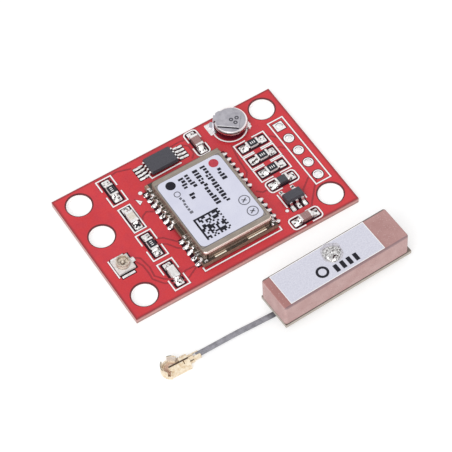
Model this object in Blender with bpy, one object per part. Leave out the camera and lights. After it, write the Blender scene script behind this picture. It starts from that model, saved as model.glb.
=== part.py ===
"""A satellite positioning receiver: a red circuit board with its shielded receiver module, and the
ceramic antenna on a short coaxial lead that plugs into it, lying unplugged in front of the board.

Units are metres. X runs along the board's long side, Y towards its back edge and Z up. The origin is
the middle of the board's underside, and the board, the antenna and the plug all stand on z = 0.
"""

import math

import bmesh
import bpy
from mathutils import Matrix, Vector

# Clearances
SEAT = 0.00003  # film of solder or glue under a seated piece
PLAY = 0.00010  # room around a pin, a lead or the cable in its hole
CUT_PAST = 0.0005  # how far a cutter runs past the face that it opens

# Circuit board
BOARD_LENGTH = 0.0365
BOARD_WIDTH = 0.0235
BOARD_THICKNESS = 0.0010
MOUNT_HOLE_DIAMETER = 0.00386
MOUNT_HOLE_FROM_LEFT = 0.0030
MOUNT_HOLE_FROM_RIGHT = 0.00285
MOUNT_HOLE_FROM_BACK = 0.00265
MOUNT_HOLE_FROM_FRONT = 0.00285
MIDDLE_HOLE_FROM_BACK = 0.00902
HEADER_HOLES = 5
HEADER_PITCH = 0.00254
HEADER_HOLE_DIAMETER = 0.0010
HEADER_FROM_RIGHT = 0.00243

# Receiver module
CARRIER_WIDTH = 0.0122
CARRIER_LENGTH = 0.0160
CARRIER_THICKNESS = 0.0008
CARRIER_BEFORE_MIDDLE = 0.0017
CONTACT_PITCH = 0.0011
CONTACT_FROM_END = 0.0010
CONTACTS_FRONT = 5
CONTACT_GAP = 0.0030
CONTACT_RADIUS = 0.0003
CAN_WIDTH = 0.0112
CAN_LENGTH = 0.0146
CAN_HEIGHT = 0.00154
CAN_BEFORE_CARRIER = 0.00025
CAN_SHEET = 0.0002
CAN_CORNER = 0.0006
CAN_EDGE = 0.00025
CAN_SLIT = 0.00022
LABEL_WIDTH = 0.01035
LABEL_LENGTH = 0.0126
LABEL_CORNER = 0.0008
LABEL_THICKNESS = 0.00006
LABEL_LEFT_OF_MIDDLE = 0.00013
RECEIVER_CHIP_SIDE = 0.0050
RECEIVER_CHIP_HEIGHT = 0.0008
CRYSTAL_LENGTH = 0.0025
CRYSTAL_WIDTH = 0.0020
CRYSTAL_HEIGHT = 0.0007
FILTER_LENGTH = 0.0014
FILTER_WIDTH = 0.0011
FILTER_HEIGHT = 0.0005
INNER_CHIP_FROM_WALL = 0.0005

# Backup cell
CELL_DIAMETER = 0.00485
CELL_THICKNESS = 0.00125
CELL_SHOULDER = 0.00025
CELL_CAP_DIAMETER = 0.0037
CELL_CAP_HEIGHT = 0.0006
CELL_ABOVE_BOARD = 0.00045
CELL_FROM_BACK = 0.0029
CELL_FROM_MIDDLE = 0.0100
TAB_SHEET = 0.00012
TOP_TAB_BACK = 0.0013
TOP_TAB_BACK_BEVEL = 0.0004
TOP_TAB_FRONT = 0.0014
TOP_TAB_FRONT_BEVEL = 0.0006
TAB_LEG_WIDTH = 0.0010
TOP_TAB_FOOT = 0.0006
BOTTOM_TAB_FOOT = 0.0002
TOP_TAB_ANGLE = math.radians(141)
BOTTOM_TAB_ANGLE = math.radians(-31)
TAB_PAST_RIM = 0.00004

# Packages with bent leads
MEMORY_LENGTH = 0.0044
MEMORY_WIDTH = 0.0029
MEMORY_HEIGHT = 0.0009
MEMORY_LEAD_PITCH = 0.00065
MEMORY_LEAD_WIDTH = 0.00028
MEMORY_LEAD_REACH = 0.0010
MEMORY_LEADS_A_SIDE = 4
MEMORY_BEHIND_CARRIER = 0.00275
MEMORY_FROM_MIDDLE = -0.00175
REGULATOR_LENGTH = 0.0029
REGULATOR_WIDTH = 0.0016
REGULATOR_HEIGHT = 0.0011
REGULATOR_LEAD_PITCH = 0.00095
REGULATOR_LEAD_WIDTH = 0.0004
REGULATOR_LEAD_REACH = 0.0007
REGULATOR_FROM_RIGHT = 0.00765
REGULATOR_FROM_FRONT = 0.0051
PACKAGE_STANDOFF = 0.0001
PACKAGE_TAPER = 0.00012
PACKAGE_CORNER = 0.00008
LEAD_THICKNESS = 0.00013
LEAD_ROOT = 0.0002
LEAD_SHOULDER = 0.0002
LEAD_SLOPE = 0.0002

# Chip parts with metal ends
CHIP_LENGTH = 0.0020
CHIP_WIDTH = 0.0012
CHIP_END = 0.00036
CHIP_STEP = 0.00003
RESISTOR_HEIGHT = 0.0005
CAPACITOR_HEIGHT = 0.0008
BEAD_HEIGHT = 0.0007
INDUCTOR_HEIGHT = 0.0008
LIGHT_HEIGHT = 0.0007
LEFT_COLUMN_BESIDE_CARRIER = 0.00405
RIGHT_COLUMN_FROM_RIGHT = 0.00735
LEFT_COLUMN_Y = {
    "resistor_1": 0.00865,
    "status_light": 0.0030,
    "resistor_2": -0.0024,
    "feed_inductor": -0.0082,
}
RESISTOR_ROW_FROM_BACK = 0.00725
RESISTOR_ROW_PITCH = 0.0026
RESISTORS_IN_ROW = 3
BACK_CAPACITOR_FROM_MIDDLE = 0.0044
BACK_CAPACITOR_FROM_BACK = 0.00255
FRONT_CAPACITOR_FROM_RIGHT = 0.00805
FRONT_CAPACITOR_FROM_FRONT = 0.0013

# Coaxial socket
SOCKET_SIDE = 0.0026
SOCKET_BASE_HEIGHT = 0.00035
SOCKET_RING_DIAMETER = 0.0020
SOCKET_RING_HEIGHT = 0.0008
SOCKET_RING_WALL = 0.00018
SOCKET_GROOVE = 0.00006
SOCKET_PIN_DIAMETER = 0.0005
SOCKET_PIN_HEIGHT = 0.0007
SOCKET_FROM_LEFT = 0.00303
SOCKET_BEFORE_MIDDLE = 0.0031

# Antenna
ANTENNA_FROM_MIDDLE = 0.00817
ANTENNA_BEFORE_BOARD = 0.00925
ANTENNA_TURN = math.radians(1.9)
CERAMIC_LENGTH = 0.0206
CERAMIC_WIDTH = 0.00575
CERAMIC_HEIGHT = 0.0039
CERAMIC_CORNER = 0.0004
CERAMIC_EDGE = 0.00022
ELECTRODE_LENGTH = 0.01555
ELECTRODE_WIDTH = 0.00524
ELECTRODE_THICKNESS = 0.00004
ELECTRODE_BARE_LEFT = 0.00118
BASE_BOARD_THICKNESS = 0.0006
BASE_BOARD_PAST_RIGHT = 0.00045
BASE_BOARD_PAST_SIDE = 0.00008
ANTENNA_CAN_HEIGHT = 0.0012
ANTENNA_CAN_INSET = 0.00085
ANTENNA_CAN_SHEET = 0.00015
AMPLIFIER_SIDE = 0.0015
AMPLIFIER_HEIGHT = 0.0006
AMPLIFIER_FROM_LEFT = 0.0050
FEED_PIN_DIAMETER = 0.0008
FEED_PIN_FROM_MIDDLE = (0.0, 0.0008)
FEED_PIN_BELOW = 0.00035
FEED_HEAD_DIAMETER = 0.0029
FEED_HEAD_HEIGHT = 0.00045

# Coaxial lead
CABLE_DIAMETER = 0.0008
CABLE_INTO_CAN = 0.0008
CABLE_HEIGHT_AT_CAN = 0.00068
CABLE_ROUTE = (
    (-0.0050, -0.02105, 0.00062),
    (-0.0080, -0.02086, 0.00052),
    (-0.0110, -0.02084, 0.00054),
)
CABLE_POINT_SPACING = 0.0018

# Coaxial plug
PLUG_PLACE = (-0.0182, -0.0207)
PLUG_TURN = math.radians(-2.2)
PLUG_BARREL_DIAMETER = 0.0029
PLUG_HEIGHT = 0.0015
PLUG_SHEET = 0.00015
PLUG_RIDGE_BELOW_RIM = 0.0001
PLUG_WALL_HEIGHT = 0.0006
PLUG_BODY_LENGTH = 0.0026
PLUG_BODY_FRONT = 0.00125
PLUG_BODY_BACK = 0.00092
PLUG_SEAM = 0.00014
PLUG_SEAM_SIDE = 0.0001
PLUG_HOOD_PAST_MIDDLE = 0.0005
PLUG_RELIEF_FROM_BARREL = 0.0017
PLUG_RELIEF_LENGTH = 0.0005
PLUG_BACK_SLOT = 0.00095
PLUG_BODY_SLOT = 0.00036
PLUG_FRONT_SLOT = 0.00042
PLUG_SLOTS = ((107.5, PLUG_BACK_SLOT), (23.5, PLUG_BODY_SLOT), (234, PLUG_FRONT_SLOT))
NECK_LENGTH = 0.0007
CRIMP_DIAMETER = 0.00124
CRIMP_LENGTH = 0.0011
CRIMP_MOUTH = 0.0007
INSULATOR_HEIGHT = 0.00035
INSULATOR_BOSS_DIAMETER = 0.0011
CONTACT_TUBE_DIAMETER = 0.0006
CONTACT_TUBE_WALL = 0.00012
CONTACT_TUBE_HEIGHT = 0.0005

# Smoothness of round shapes
CORNER_STEPS = 4
ROUND_STEPS = 24
HOLE_STEPS = 32

# Places that follow from the sizes above
LEFT = -BOARD_LENGTH / 2
RIGHT = BOARD_LENGTH / 2
FRONT = -BOARD_WIDTH / 2
BACK = BOARD_WIDTH / 2
ON_BOARD = BOARD_THICKNESS + SEAT
ON_CARRIER = ON_BOARD + CARRIER_THICKNESS + SEAT
ON_CAN = ON_CARRIER + CAN_HEIGHT + SEAT
CARRIER_Y = -CARRIER_BEFORE_MIDDLE
CAN_Y = CARRIER_Y - CAN_BEFORE_CARRIER
LEFT_COLUMN_X = -CARRIER_WIDTH / 2 - LEFT_COLUMN_BESIDE_CARRIER

for leftover in list(bpy.data.objects):
    bpy.data.objects.remove(leftover, do_unlink=True)


def finish(name, colour, roughness, metallic=0.0):
    """A plain material in the part's own colour."""
    material = bpy.data.materials.new(name)
    material.use_nodes = True
    shader = material.node_tree.nodes["Principled BSDF"]
    shader.inputs["Base Color"].default_value = (*colour, 1.0)
    shader.inputs["Roughness"].default_value = roughness
    shader.inputs["Metallic"].default_value = metallic
    return material


BOARD_RED = finish("board_red", (0.60, 0.045, 0.055), 0.35)
LAMINATE = finish("laminate", (0.30, 0.27, 0.16), 0.5)
CAN_METAL = finish("can_metal", (0.33, 0.30, 0.26), 0.35, 1.0)
LABEL_WHITE = finish("label_white", (0.70, 0.70, 0.82), 0.5)
CHIP_BLACK = finish("chip_black", (0.06, 0.065, 0.08), 0.45)
CELL_STEEL = finish("cell_steel", (0.42, 0.42, 0.45), 0.3, 1.0)
TIN = finish("tin", (0.75, 0.75, 0.75), 0.25, 1.0)
CAPACITOR_BROWN = finish("capacitor_brown", (0.36, 0.23, 0.22), 0.4)
INDUCTOR_CREAM = finish("inductor_cream", (0.72, 0.70, 0.68), 0.4)
LIGHT_CREAM = finish("light_cream", (0.80, 0.74, 0.62), 0.3)
SOCKET_WHITE = finish("socket_white", (0.78, 0.76, 0.74), 0.5)
GOLD = finish("gold", (0.83, 0.62, 0.36), 0.25, 1.0)
CERAMIC_PINK = finish("ceramic_pink", (0.50, 0.30, 0.28), 0.6)
SILVER = finish("silver", (0.72, 0.72, 0.80), 0.45, 0.6)
CABLE_GREY = finish("cable_grey", (0.27, 0.27, 0.30), 0.5)


def circle(radius, height, steps=ROUND_STEPS):
    """Points of a level circle, anticlockwise."""
    angles = [2 * math.pi * step / steps for step in range(steps)]
    return [Vector((radius * math.cos(a), radius * math.sin(a), height)) for a in angles]


def rounded_rectangle(length, width, radius, height):
    """Points of a level rectangle with round corners, anticlockwise."""
    points = []
    for corner, (side_x, side_y) in enumerate(((1, 1), (-1, 1), (-1, -1), (1, -1))):
        centre_x = side_x * (length / 2 - radius)
        centre_y = side_y * (width / 2 - radius)
        for step in range(CORNER_STEPS + 1):
            angle = (corner + step / CORNER_STEPS) * math.pi / 2
            x = centre_x + radius * math.cos(angle)
            y = centre_y + radius * math.sin(angle)
            points.append(Vector((x, y, height)))
    return points


def upright(half_width, low, high, x):
    """Corners of a rectangle that stands across X."""
    return [Vector((x, y, z)) for y, z in (
        (-half_width, low), (half_width, low), (half_width, high), (-half_width, high))]


def arched(front, back, low, wall_top, ridge, x):
    """Points of an outline that stands across X, with upright walls at -front and +back under an arch."""
    points = [Vector((x, -front, low)), Vector((x, back, low))]
    steps = 2 * CORNER_STEPS
    for step in range(steps + 1):
        angle = step / steps * math.pi
        height = wall_top + (ridge - wall_top) * math.sin(angle)
        reach = back if step < CORNER_STEPS else front
        points.append(Vector((x, reach * math.cos(angle), height)))
    return points


def add_loft(shape, rings, looped=False):
    """Adds one closed solid: a skin over rings of equal length, with flat ends or joined in a loop."""
    rows = [[shape.verts.new(point) for point in ring] for ring in rings]
    count = len(rows[0])
    pairs = list(zip(rows, rows[1:]))
    if looped:
        pairs.append((rows[-1], rows[0]))
    faces = []
    for low, high in pairs:
        for i in range(count):
            j = (i + 1) % count
            faces.append(shape.faces.new((low[i], low[j], high[j], high[i])))
    if not looped:
        faces.append(shape.faces.new(list(reversed(rows[0]))))
        faces.append(shape.faces.new(rows[-1]))
    bmesh.ops.recalc_face_normals(shape, faces=faces)


def add_block(shape, low, high):
    """Adds a box between two opposite corners."""
    middle = (Vector(low) + Vector(high)) / 2
    size = Vector(high) - Vector(low)
    matrix = Matrix.Translation(middle) @ Matrix.Diagonal((*size, 1.0))
    bmesh.ops.create_cube(shape, size=1.0, matrix=matrix)


def add_lying_cylinder(shape, radius, start, end, height, steps=ROUND_STEPS):
    """Adds a cylinder along X."""
    rings = []
    for x in (start, end):
        rings.append([Vector((x, point.x, height + point.y)) for point in circle(radius, 0, steps)])
    add_loft(shape, rings)


def place_object(thing, place, turn, parent):
    thing.location = place
    thing.rotation_euler = (0, 0, turn)
    thing.parent = parent
    bpy.context.scene.collection.objects.link(thing)


def piece(name, shape, material, place=(0, 0, 0), turn=0.0, parent=None, smooth=False):
    """Makes the object of one piece from its bmesh."""
    mesh = bpy.data.meshes.new(name)
    shape.to_mesh(mesh)
    shape.free()
    mesh.materials.append(material)
    if smooth:
        mesh.shade_smooth()
        mesh.set_sharp_from_angle(angle=math.radians(35))
    thing = bpy.data.objects.new(name, mesh)
    place_object(thing, place, turn, parent)
    return thing


def combine(target, name, shape, operation):
    """Joins a helper shape to a piece, or cuts it out. The helper shares the piece's own frame."""
    mesh = bpy.data.meshes.new(name)
    shape.to_mesh(mesh)
    shape.free()
    helper = bpy.data.objects.new(name, mesh)
    place_object(helper, target.location, target.rotation_euler.z, target.parent)
    helper.hide_render = True
    helper.display_type = "WIRE"
    modifier = target.modifiers.new(name, "BOOLEAN")
    modifier.object = helper
    modifier.operation = operation
    modifier.solver = "EXACT"


def lofted_piece(name, rings, material, looped=False, **where):
    shape = bmesh.new()
    add_loft(shape, rings, looped)
    return piece(name, shape, material, **where)


def round_topped_rings(length, width, height, corner, edge):
    """Rings of an upright block with round corners and a rounded top edge."""
    rings = [rounded_rectangle(length, width, corner, 0)]
    for step in range(CORNER_STEPS + 1):
        angle = step / CORNER_STEPS * math.pi / 2
        inset = edge * (1 - math.cos(angle))
        level = height - edge * (1 - math.sin(angle))
        rings.append(rounded_rectangle(length - 2 * inset, width - 2 * inset, corner - inset, level))
    return rings


def mount_hole_places():
    left = LEFT + MOUNT_HOLE_FROM_LEFT
    right = RIGHT - MOUNT_HOLE_FROM_RIGHT
    back = BACK - MOUNT_HOLE_FROM_BACK
    front = FRONT + MOUNT_HOLE_FROM_FRONT
    middle = BACK - MIDDLE_HOLE_FROM_BACK
    return (left, back), (left, middle), (left, front), (right, back), (right, front)


def header_hole_places():
    first = HEADER_PITCH * (HEADER_HOLES - 1) / 2
    return [(RIGHT - HEADER_FROM_RIGHT, first - i * HEADER_PITCH) for i in range(HEADER_HOLES)]


def make_circuit_board():
    shape = bmesh.new()
    add_block(shape, (LEFT, FRONT, 0), (RIGHT, BACK, BOARD_THICKNESS))
    board = piece("circuit_board", shape, BOARD_RED)
    holes = [(place, MOUNT_HOLE_DIAMETER, HOLE_STEPS) for place in mount_hole_places()]
    holes += [(place, HEADER_HOLE_DIAMETER, HOLE_STEPS // 2) for place in header_hole_places()]
    drills = bmesh.new()
    for (x, y), diameter, steps in holes:
        centre = Vector((x, y, 0))
        levels = (-CUT_PAST, BOARD_THICKNESS + CUT_PAST)
        rings = [[centre + point for point in circle(diameter / 2, z, steps)] for z in levels]
        add_loft(drills, rings)
    combine(board, "board_drills", drills, "DIFFERENCE")


def contact_levels():
    """Where the module's edge contacts lie along it: a front group, a gap, then as many as still fit."""
    levels = [CONTACT_FROM_END + i * CONTACT_PITCH for i in range(CONTACTS_FRONT)]
    level = levels[-1] + CONTACT_GAP
    while level < CARRIER_LENGTH - CONTACT_FROM_END + CONTACT_RADIUS:
        levels.append(level)
        level += CONTACT_PITCH
    return [level - CARRIER_LENGTH / 2 for level in levels]


def make_receiver_carrier():
    shape = bmesh.new()
    half_x, half_y = CARRIER_WIDTH / 2, CARRIER_LENGTH / 2
    add_block(shape, (-half_x, -half_y, 0), (half_x, half_y, CARRIER_THICKNESS))
    place = (0, CARRIER_Y, ON_BOARD)
    carrier = piece("receiver_carrier_board", shape, LAMINATE, place)
    notches = bmesh.new()
    for side in (-1, 1):
        for y in contact_levels():
            centre = Vector((side * half_x, y, 0))
            levels = (-CUT_PAST, CARRIER_THICKNESS + CUT_PAST)
            rings = [[centre + p for p in circle(CONTACT_RADIUS, z, ROUND_STEPS // 2)] for z in levels]
            add_loft(notches, rings)
    combine(carrier, "edge_contact_notches", notches, "DIFFERENCE")


def make_receiver_can():
    rings = round_topped_rings(CAN_WIDTH, CAN_LENGTH, CAN_HEIGHT, CAN_CORNER, CAN_EDGE)
    place = (0, CAN_Y, ON_CARRIER)
    can = lofted_piece("receiver_shield_can", rings, CAN_METAL, place=place, smooth=True)
    inner_width = CAN_WIDTH - 2 * CAN_SHEET
    inner_length = CAN_LENGTH - 2 * CAN_SHEET
    inner_corner = CAN_CORNER - CAN_SHEET
    ceiling = CAN_HEIGHT - CAN_SHEET
    hollow = bmesh.new()
    add_loft(hollow, [rounded_rectangle(inner_width, inner_length, inner_corner, z)
                      for z in (-CUT_PAST, ceiling)])
    combine(can, "can_hollow", hollow, "DIFFERENCE")
    slits = bmesh.new()
    top = CAN_HEIGHT - CAN_EDGE - CAN_SHEET
    for side_x in (-1, 1):
        for side_y in (-1, 1):
            corner_x = side_x * (CAN_WIDTH / 2 - CAN_CORNER)
            low = (min(corner_x, corner_x + side_x * CAN_SLIT), -CAN_SHEET - CUT_PAST, -CUT_PAST)
            high = (max(corner_x, corner_x + side_x * CAN_SLIT), CAN_SHEET + CUT_PAST, top)
            shift = Vector((0, side_y * CAN_LENGTH / 2, 0))
            add_block(slits, Vector(low) + shift, Vector(high) + shift)
    combine(can, "corner_slits", slits, "DIFFERENCE")


def make_receiver_label():
    rings = [rounded_rectangle(LABEL_WIDTH, LABEL_LENGTH, LABEL_CORNER, z) for z in (0, LABEL_THICKNESS)]
    lofted_piece("receiver_label", rings, LABEL_WHITE, place=(-LABEL_LEFT_OF_MIDDLE, CAN_Y, ON_CAN))


def make_chips_under_can():
    """The receiver chip in the middle, the reference crystal at the back and the band filter in front."""
    reach = CAN_LENGTH / 2 - CAN_SHEET - INNER_CHIP_FROM_WALL
    sizes = {
        "receiver_chip": (RECEIVER_CHIP_SIDE, RECEIVER_CHIP_SIDE, RECEIVER_CHIP_HEIGHT),
        "reference_crystal": (CRYSTAL_WIDTH, CRYSTAL_LENGTH, CRYSTAL_HEIGHT),
        "band_filter": (FILTER_WIDTH, FILTER_LENGTH, FILTER_HEIGHT),
    }
    places = {
        "receiver_chip": (0, 0),
        "reference_crystal": (0, reach - CRYSTAL_LENGTH / 2),
        "band_filter": (0, FILTER_LENGTH / 2 - reach),
    }
    finishes = {"receiver_chip": CHIP_BLACK, "reference_crystal": CELL_STEEL, "band_filter": INDUCTOR_CREAM}
    for name, (x, y) in places.items():
        size_x, size_y, height = sizes[name]
        shape = bmesh.new()
        add_block(shape, (-size_x / 2, -size_y / 2, 0), (size_x / 2, size_y / 2, height))
        piece(name, shape, finishes[name], (x, CAN_Y + y, ON_CARRIER))


def bent_strip(reach_in, reach_out, top, width, sheet, foot):
    """Rings, one at each side of a strip that lies level, drops straight down and ends in a foot."""
    outline = (
        (reach_in, top), (reach_out, top), (reach_out, sheet), (reach_out + foot, sheet),
        (reach_out + foot, 0), (reach_out - sheet, 0), (reach_out - sheet, top - sheet),
        (reach_in, top - sheet),
    )
    return [[Vector((x, side * width / 2, z)) for x, z in outline] for side in (-1, 1)]


def make_backup_cell():
    """A flat cell with its narrow cap below and its wide can above, between two welded tabs."""
    x, y = CELL_FROM_MIDDLE, BACK - CELL_FROM_BACK
    radius = CELL_DIAMETER / 2
    waist = radius - CELL_SHOULDER
    cap = CELL_CAP_DIAMETER / 2
    roll = CELL_SHOULDER / 3
    profile = (
        (cap - roll, 0), (cap, roll), (cap, CELL_CAP_HEIGHT - roll), (radius - roll, CELL_CAP_HEIGHT),
        (radius, CELL_CAP_HEIGHT + roll), (radius, CELL_THICKNESS - CELL_SHOULDER),
        (radius - roll, CELL_THICKNESS - roll), (waist, CELL_THICKNESS),
    )
    rings = [circle(r, z, HOLE_STEPS) for r, z in profile]
    cell_bottom = ON_BOARD + CELL_ABOVE_BOARD
    lofted_piece("backup_cell", rings, CELL_STEEL, place=(x, y, cell_bottom), smooth=True)

    top = cell_bottom - ON_BOARD + CELL_THICKNESS + SEAT + TAB_SHEET
    reach = radius + TAB_PAST_RIM + TAB_SHEET
    shape = bmesh.new()
    add_loft(shape, bent_strip(0, reach, top, TAB_LEG_WIDTH, TAB_SHEET, TOP_TAB_FOOT))
    tab = piece("backup_cell_top_tab", shape, TIN, (x, y, ON_BOARD), TOP_TAB_ANGLE)
    plate = bmesh.new()
    far_end = -radius * 0.56
    near_end = radius - roll
    outline = (
        (far_end, -TOP_TAB_BACK), (near_end - TOP_TAB_BACK_BEVEL, -TOP_TAB_BACK),
        (near_end, TOP_TAB_BACK_BEVEL - TOP_TAB_BACK), (near_end, TOP_TAB_FRONT - 2 * TOP_TAB_FRONT_BEVEL),
        (near_end - TOP_TAB_FRONT_BEVEL, TOP_TAB_FRONT), (far_end, TOP_TAB_FRONT),
    )
    levels = (top - TAB_SHEET, top)
    add_loft(plate, [[Vector((along, across, z)) for along, across in outline] for z in levels])
    combine(tab, "top_tab_plate", plate, "UNION")

    top = cell_bottom - ON_BOARD - SEAT
    shape = bmesh.new()
    add_loft(shape, bent_strip(-waist / 2, reach, top, TAB_LEG_WIDTH, TAB_SHEET, BOTTOM_TAB_FOOT))
    piece("backup_cell_bottom_tab", shape, TIN, (x, y, ON_BOARD), BOTTOM_TAB_ANGLE)


def package_with_leads(name, place, turn, length, width, height, lead_width, lead_reach, leads):
    """A moulded package with bent leads at both X ends. leads holds (side, y) pairs."""
    levels = (
        (PACKAGE_STANDOFF, PACKAGE_TAPER), (height / 2, 0), (height / 2 + LEAD_THICKNESS, 0),
        (height, PACKAGE_TAPER),
    )
    rings = [rounded_rectangle(length - 2 * inset, width - 2 * inset, PACKAGE_CORNER, z)
             for z, inset in levels]
    package = lofted_piece(name, rings, CHIP_BLACK, place=place, turn=turn)
    shape = bmesh.new()
    root = length / 2 - LEAD_ROOT
    knee = length / 2 + LEAD_SHOULDER
    heel = knee + LEAD_SLOPE
    tip = length / 2 + lead_reach
    low = height / 2
    high = low + LEAD_THICKNESS
    outline = (
        (root, high), (knee, high), (heel, LEAD_THICKNESS), (tip, LEAD_THICKNESS),
        (tip, 0), (heel - LEAD_THICKNESS, 0), (knee - LEAD_THICKNESS, low), (root, low),
    )
    for side, y in leads:
        edges = (y - lead_width / 2, y + lead_width / 2)
        add_loft(shape, [[Vector((side * x, edge, z)) for x, z in outline] for edge in edges])
    combine(package, name + "_leads", shape, "UNION")


def make_memory_chip():
    middle = (MEMORY_LEADS_A_SIDE - 1) / 2
    rows = [(i - middle) * MEMORY_LEAD_PITCH for i in range(MEMORY_LEADS_A_SIDE)]
    place = (MEMORY_FROM_MIDDLE, CARRIER_Y + CARRIER_LENGTH / 2 + MEMORY_BEHIND_CARRIER, ON_BOARD)
    leads = [(side, y) for side in (-1, 1) for y in rows]
    package_with_leads("memory_chip", place, 0.0, MEMORY_LENGTH, MEMORY_WIDTH, MEMORY_HEIGHT,
                       MEMORY_LEAD_WIDTH, MEMORY_LEAD_REACH, leads)


def make_voltage_regulator():
    """Three leads face the board's front edge and two face its back edge."""
    front = [(-1, step * REGULATOR_LEAD_PITCH) for step in (-1, 0, 1)]
    back = [(1, step * REGULATOR_LEAD_PITCH) for step in (-1, 1)]
    place = (RIGHT - REGULATOR_FROM_RIGHT, FRONT + REGULATOR_FROM_FRONT, ON_BOARD)
    package_with_leads("voltage_regulator", place, math.pi / 2,
                       REGULATOR_WIDTH, REGULATOR_LENGTH, REGULATOR_HEIGHT,
                       REGULATOR_LEAD_WIDTH, REGULATOR_LEAD_REACH, front + back)


def chip_part(name, x, y, height, material, along_y=False):
    """A block whose metal ends stand slightly proud of the body between them."""
    end = CHIP_LENGTH / 2
    inner = end - CHIP_END
    full = (CHIP_WIDTH / 2, 0, height)
    slim = (CHIP_WIDTH / 2 - CHIP_STEP, CHIP_STEP, height - CHIP_STEP)
    stations = ((-end, full), (-inner, full), (-inner, slim), (inner, slim), (inner, full), (end, full))
    rings = [upright(*section, along) for along, section in stations]
    turn = math.pi / 2 if along_y else 0.0
    lofted_piece(name, rings, material, place=(x, y, ON_BOARD), turn=turn)


def make_chip_parts():
    left_looks = {
        "resistor_1": (RESISTOR_HEIGHT, CHIP_BLACK),
        "status_light": (LIGHT_HEIGHT, LIGHT_CREAM),
        "resistor_2": (RESISTOR_HEIGHT, CHIP_BLACK),
        "feed_inductor": (INDUCTOR_HEIGHT, INDUCTOR_CREAM),
    }
    for name, y in LEFT_COLUMN_Y.items():
        height, material = left_looks[name]
        chip_part(name, LEFT_COLUMN_X, y, height, material, along_y=True)
    x, y = RIGHT - RIGHT_COLUMN_FROM_RIGHT, BACK - RESISTOR_ROW_FROM_BACK
    for row in range(RESISTORS_IN_ROW):
        chip_part(f"resistor_{row + 3}", x, y - row * RESISTOR_ROW_PITCH, RESISTOR_HEIGHT, CHIP_BLACK)
    chip_part("ferrite_bead", x, y - RESISTORS_IN_ROW * RESISTOR_ROW_PITCH, BEAD_HEIGHT, CHIP_BLACK)
    y = BACK - BACK_CAPACITOR_FROM_BACK
    chip_part("capacitor_1", BACK_CAPACITOR_FROM_MIDDLE, y, CAPACITOR_HEIGHT, CAPACITOR_BROWN, along_y=True)
    x, y = RIGHT - FRONT_CAPACITOR_FROM_RIGHT, FRONT + FRONT_CAPACITOR_FROM_FRONT
    chip_part("capacitor_2", x, y, CAPACITOR_HEIGHT, CAPACITOR_BROWN)


def make_coax_socket():
    x, y = LEFT + SOCKET_FROM_LEFT, -SOCKET_BEFORE_MIDDLE
    shape = bmesh.new()
    half = SOCKET_SIDE / 2
    add_block(shape, (-half, -half, 0), (half, half, SOCKET_BASE_HEIGHT))
    piece("coax_socket_base", shape, SOCKET_WHITE, (x, y, ON_BOARD))

    outer = SOCKET_RING_DIAMETER / 2
    inner = outer - SOCKET_RING_WALL
    height = SOCKET_RING_HEIGHT
    waist = outer - SOCKET_GROOVE
    profile = (
        (outer, 0), (outer, height * 0.45), (waist, height * 0.55), (waist, height * 0.75),
        (outer, height * 0.85), (outer, height), (inner, height), (inner, 0),
    )
    rings = [circle(radius, level) for radius, level in profile]
    on_base = ON_BOARD + SOCKET_BASE_HEIGHT + SEAT
    lofted_piece("coax_socket_ring", rings, GOLD, looped=True, place=(x, y, on_base), smooth=True)

    radius = SOCKET_PIN_DIAMETER / 2
    profile = ((radius, 0), (radius, SOCKET_PIN_HEIGHT - radius / 2), (radius / 2, SOCKET_PIN_HEIGHT))
    rings = [circle(r, z, ROUND_STEPS // 2) for r, z in profile]
    lofted_piece("coax_socket_pin", rings, GOLD, place=(x, y, on_base), smooth=True)


def feed_pin_bore(shape, low, high):
    """Adds the round hole that the feed pin passes through."""
    centre = Vector((*FEED_PIN_FROM_MIDDLE, 0))
    radius = FEED_PIN_DIAMETER / 2 + PLAY
    add_loft(shape, [[centre + p for p in circle(radius, z)] for z in (low, high)])


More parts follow.
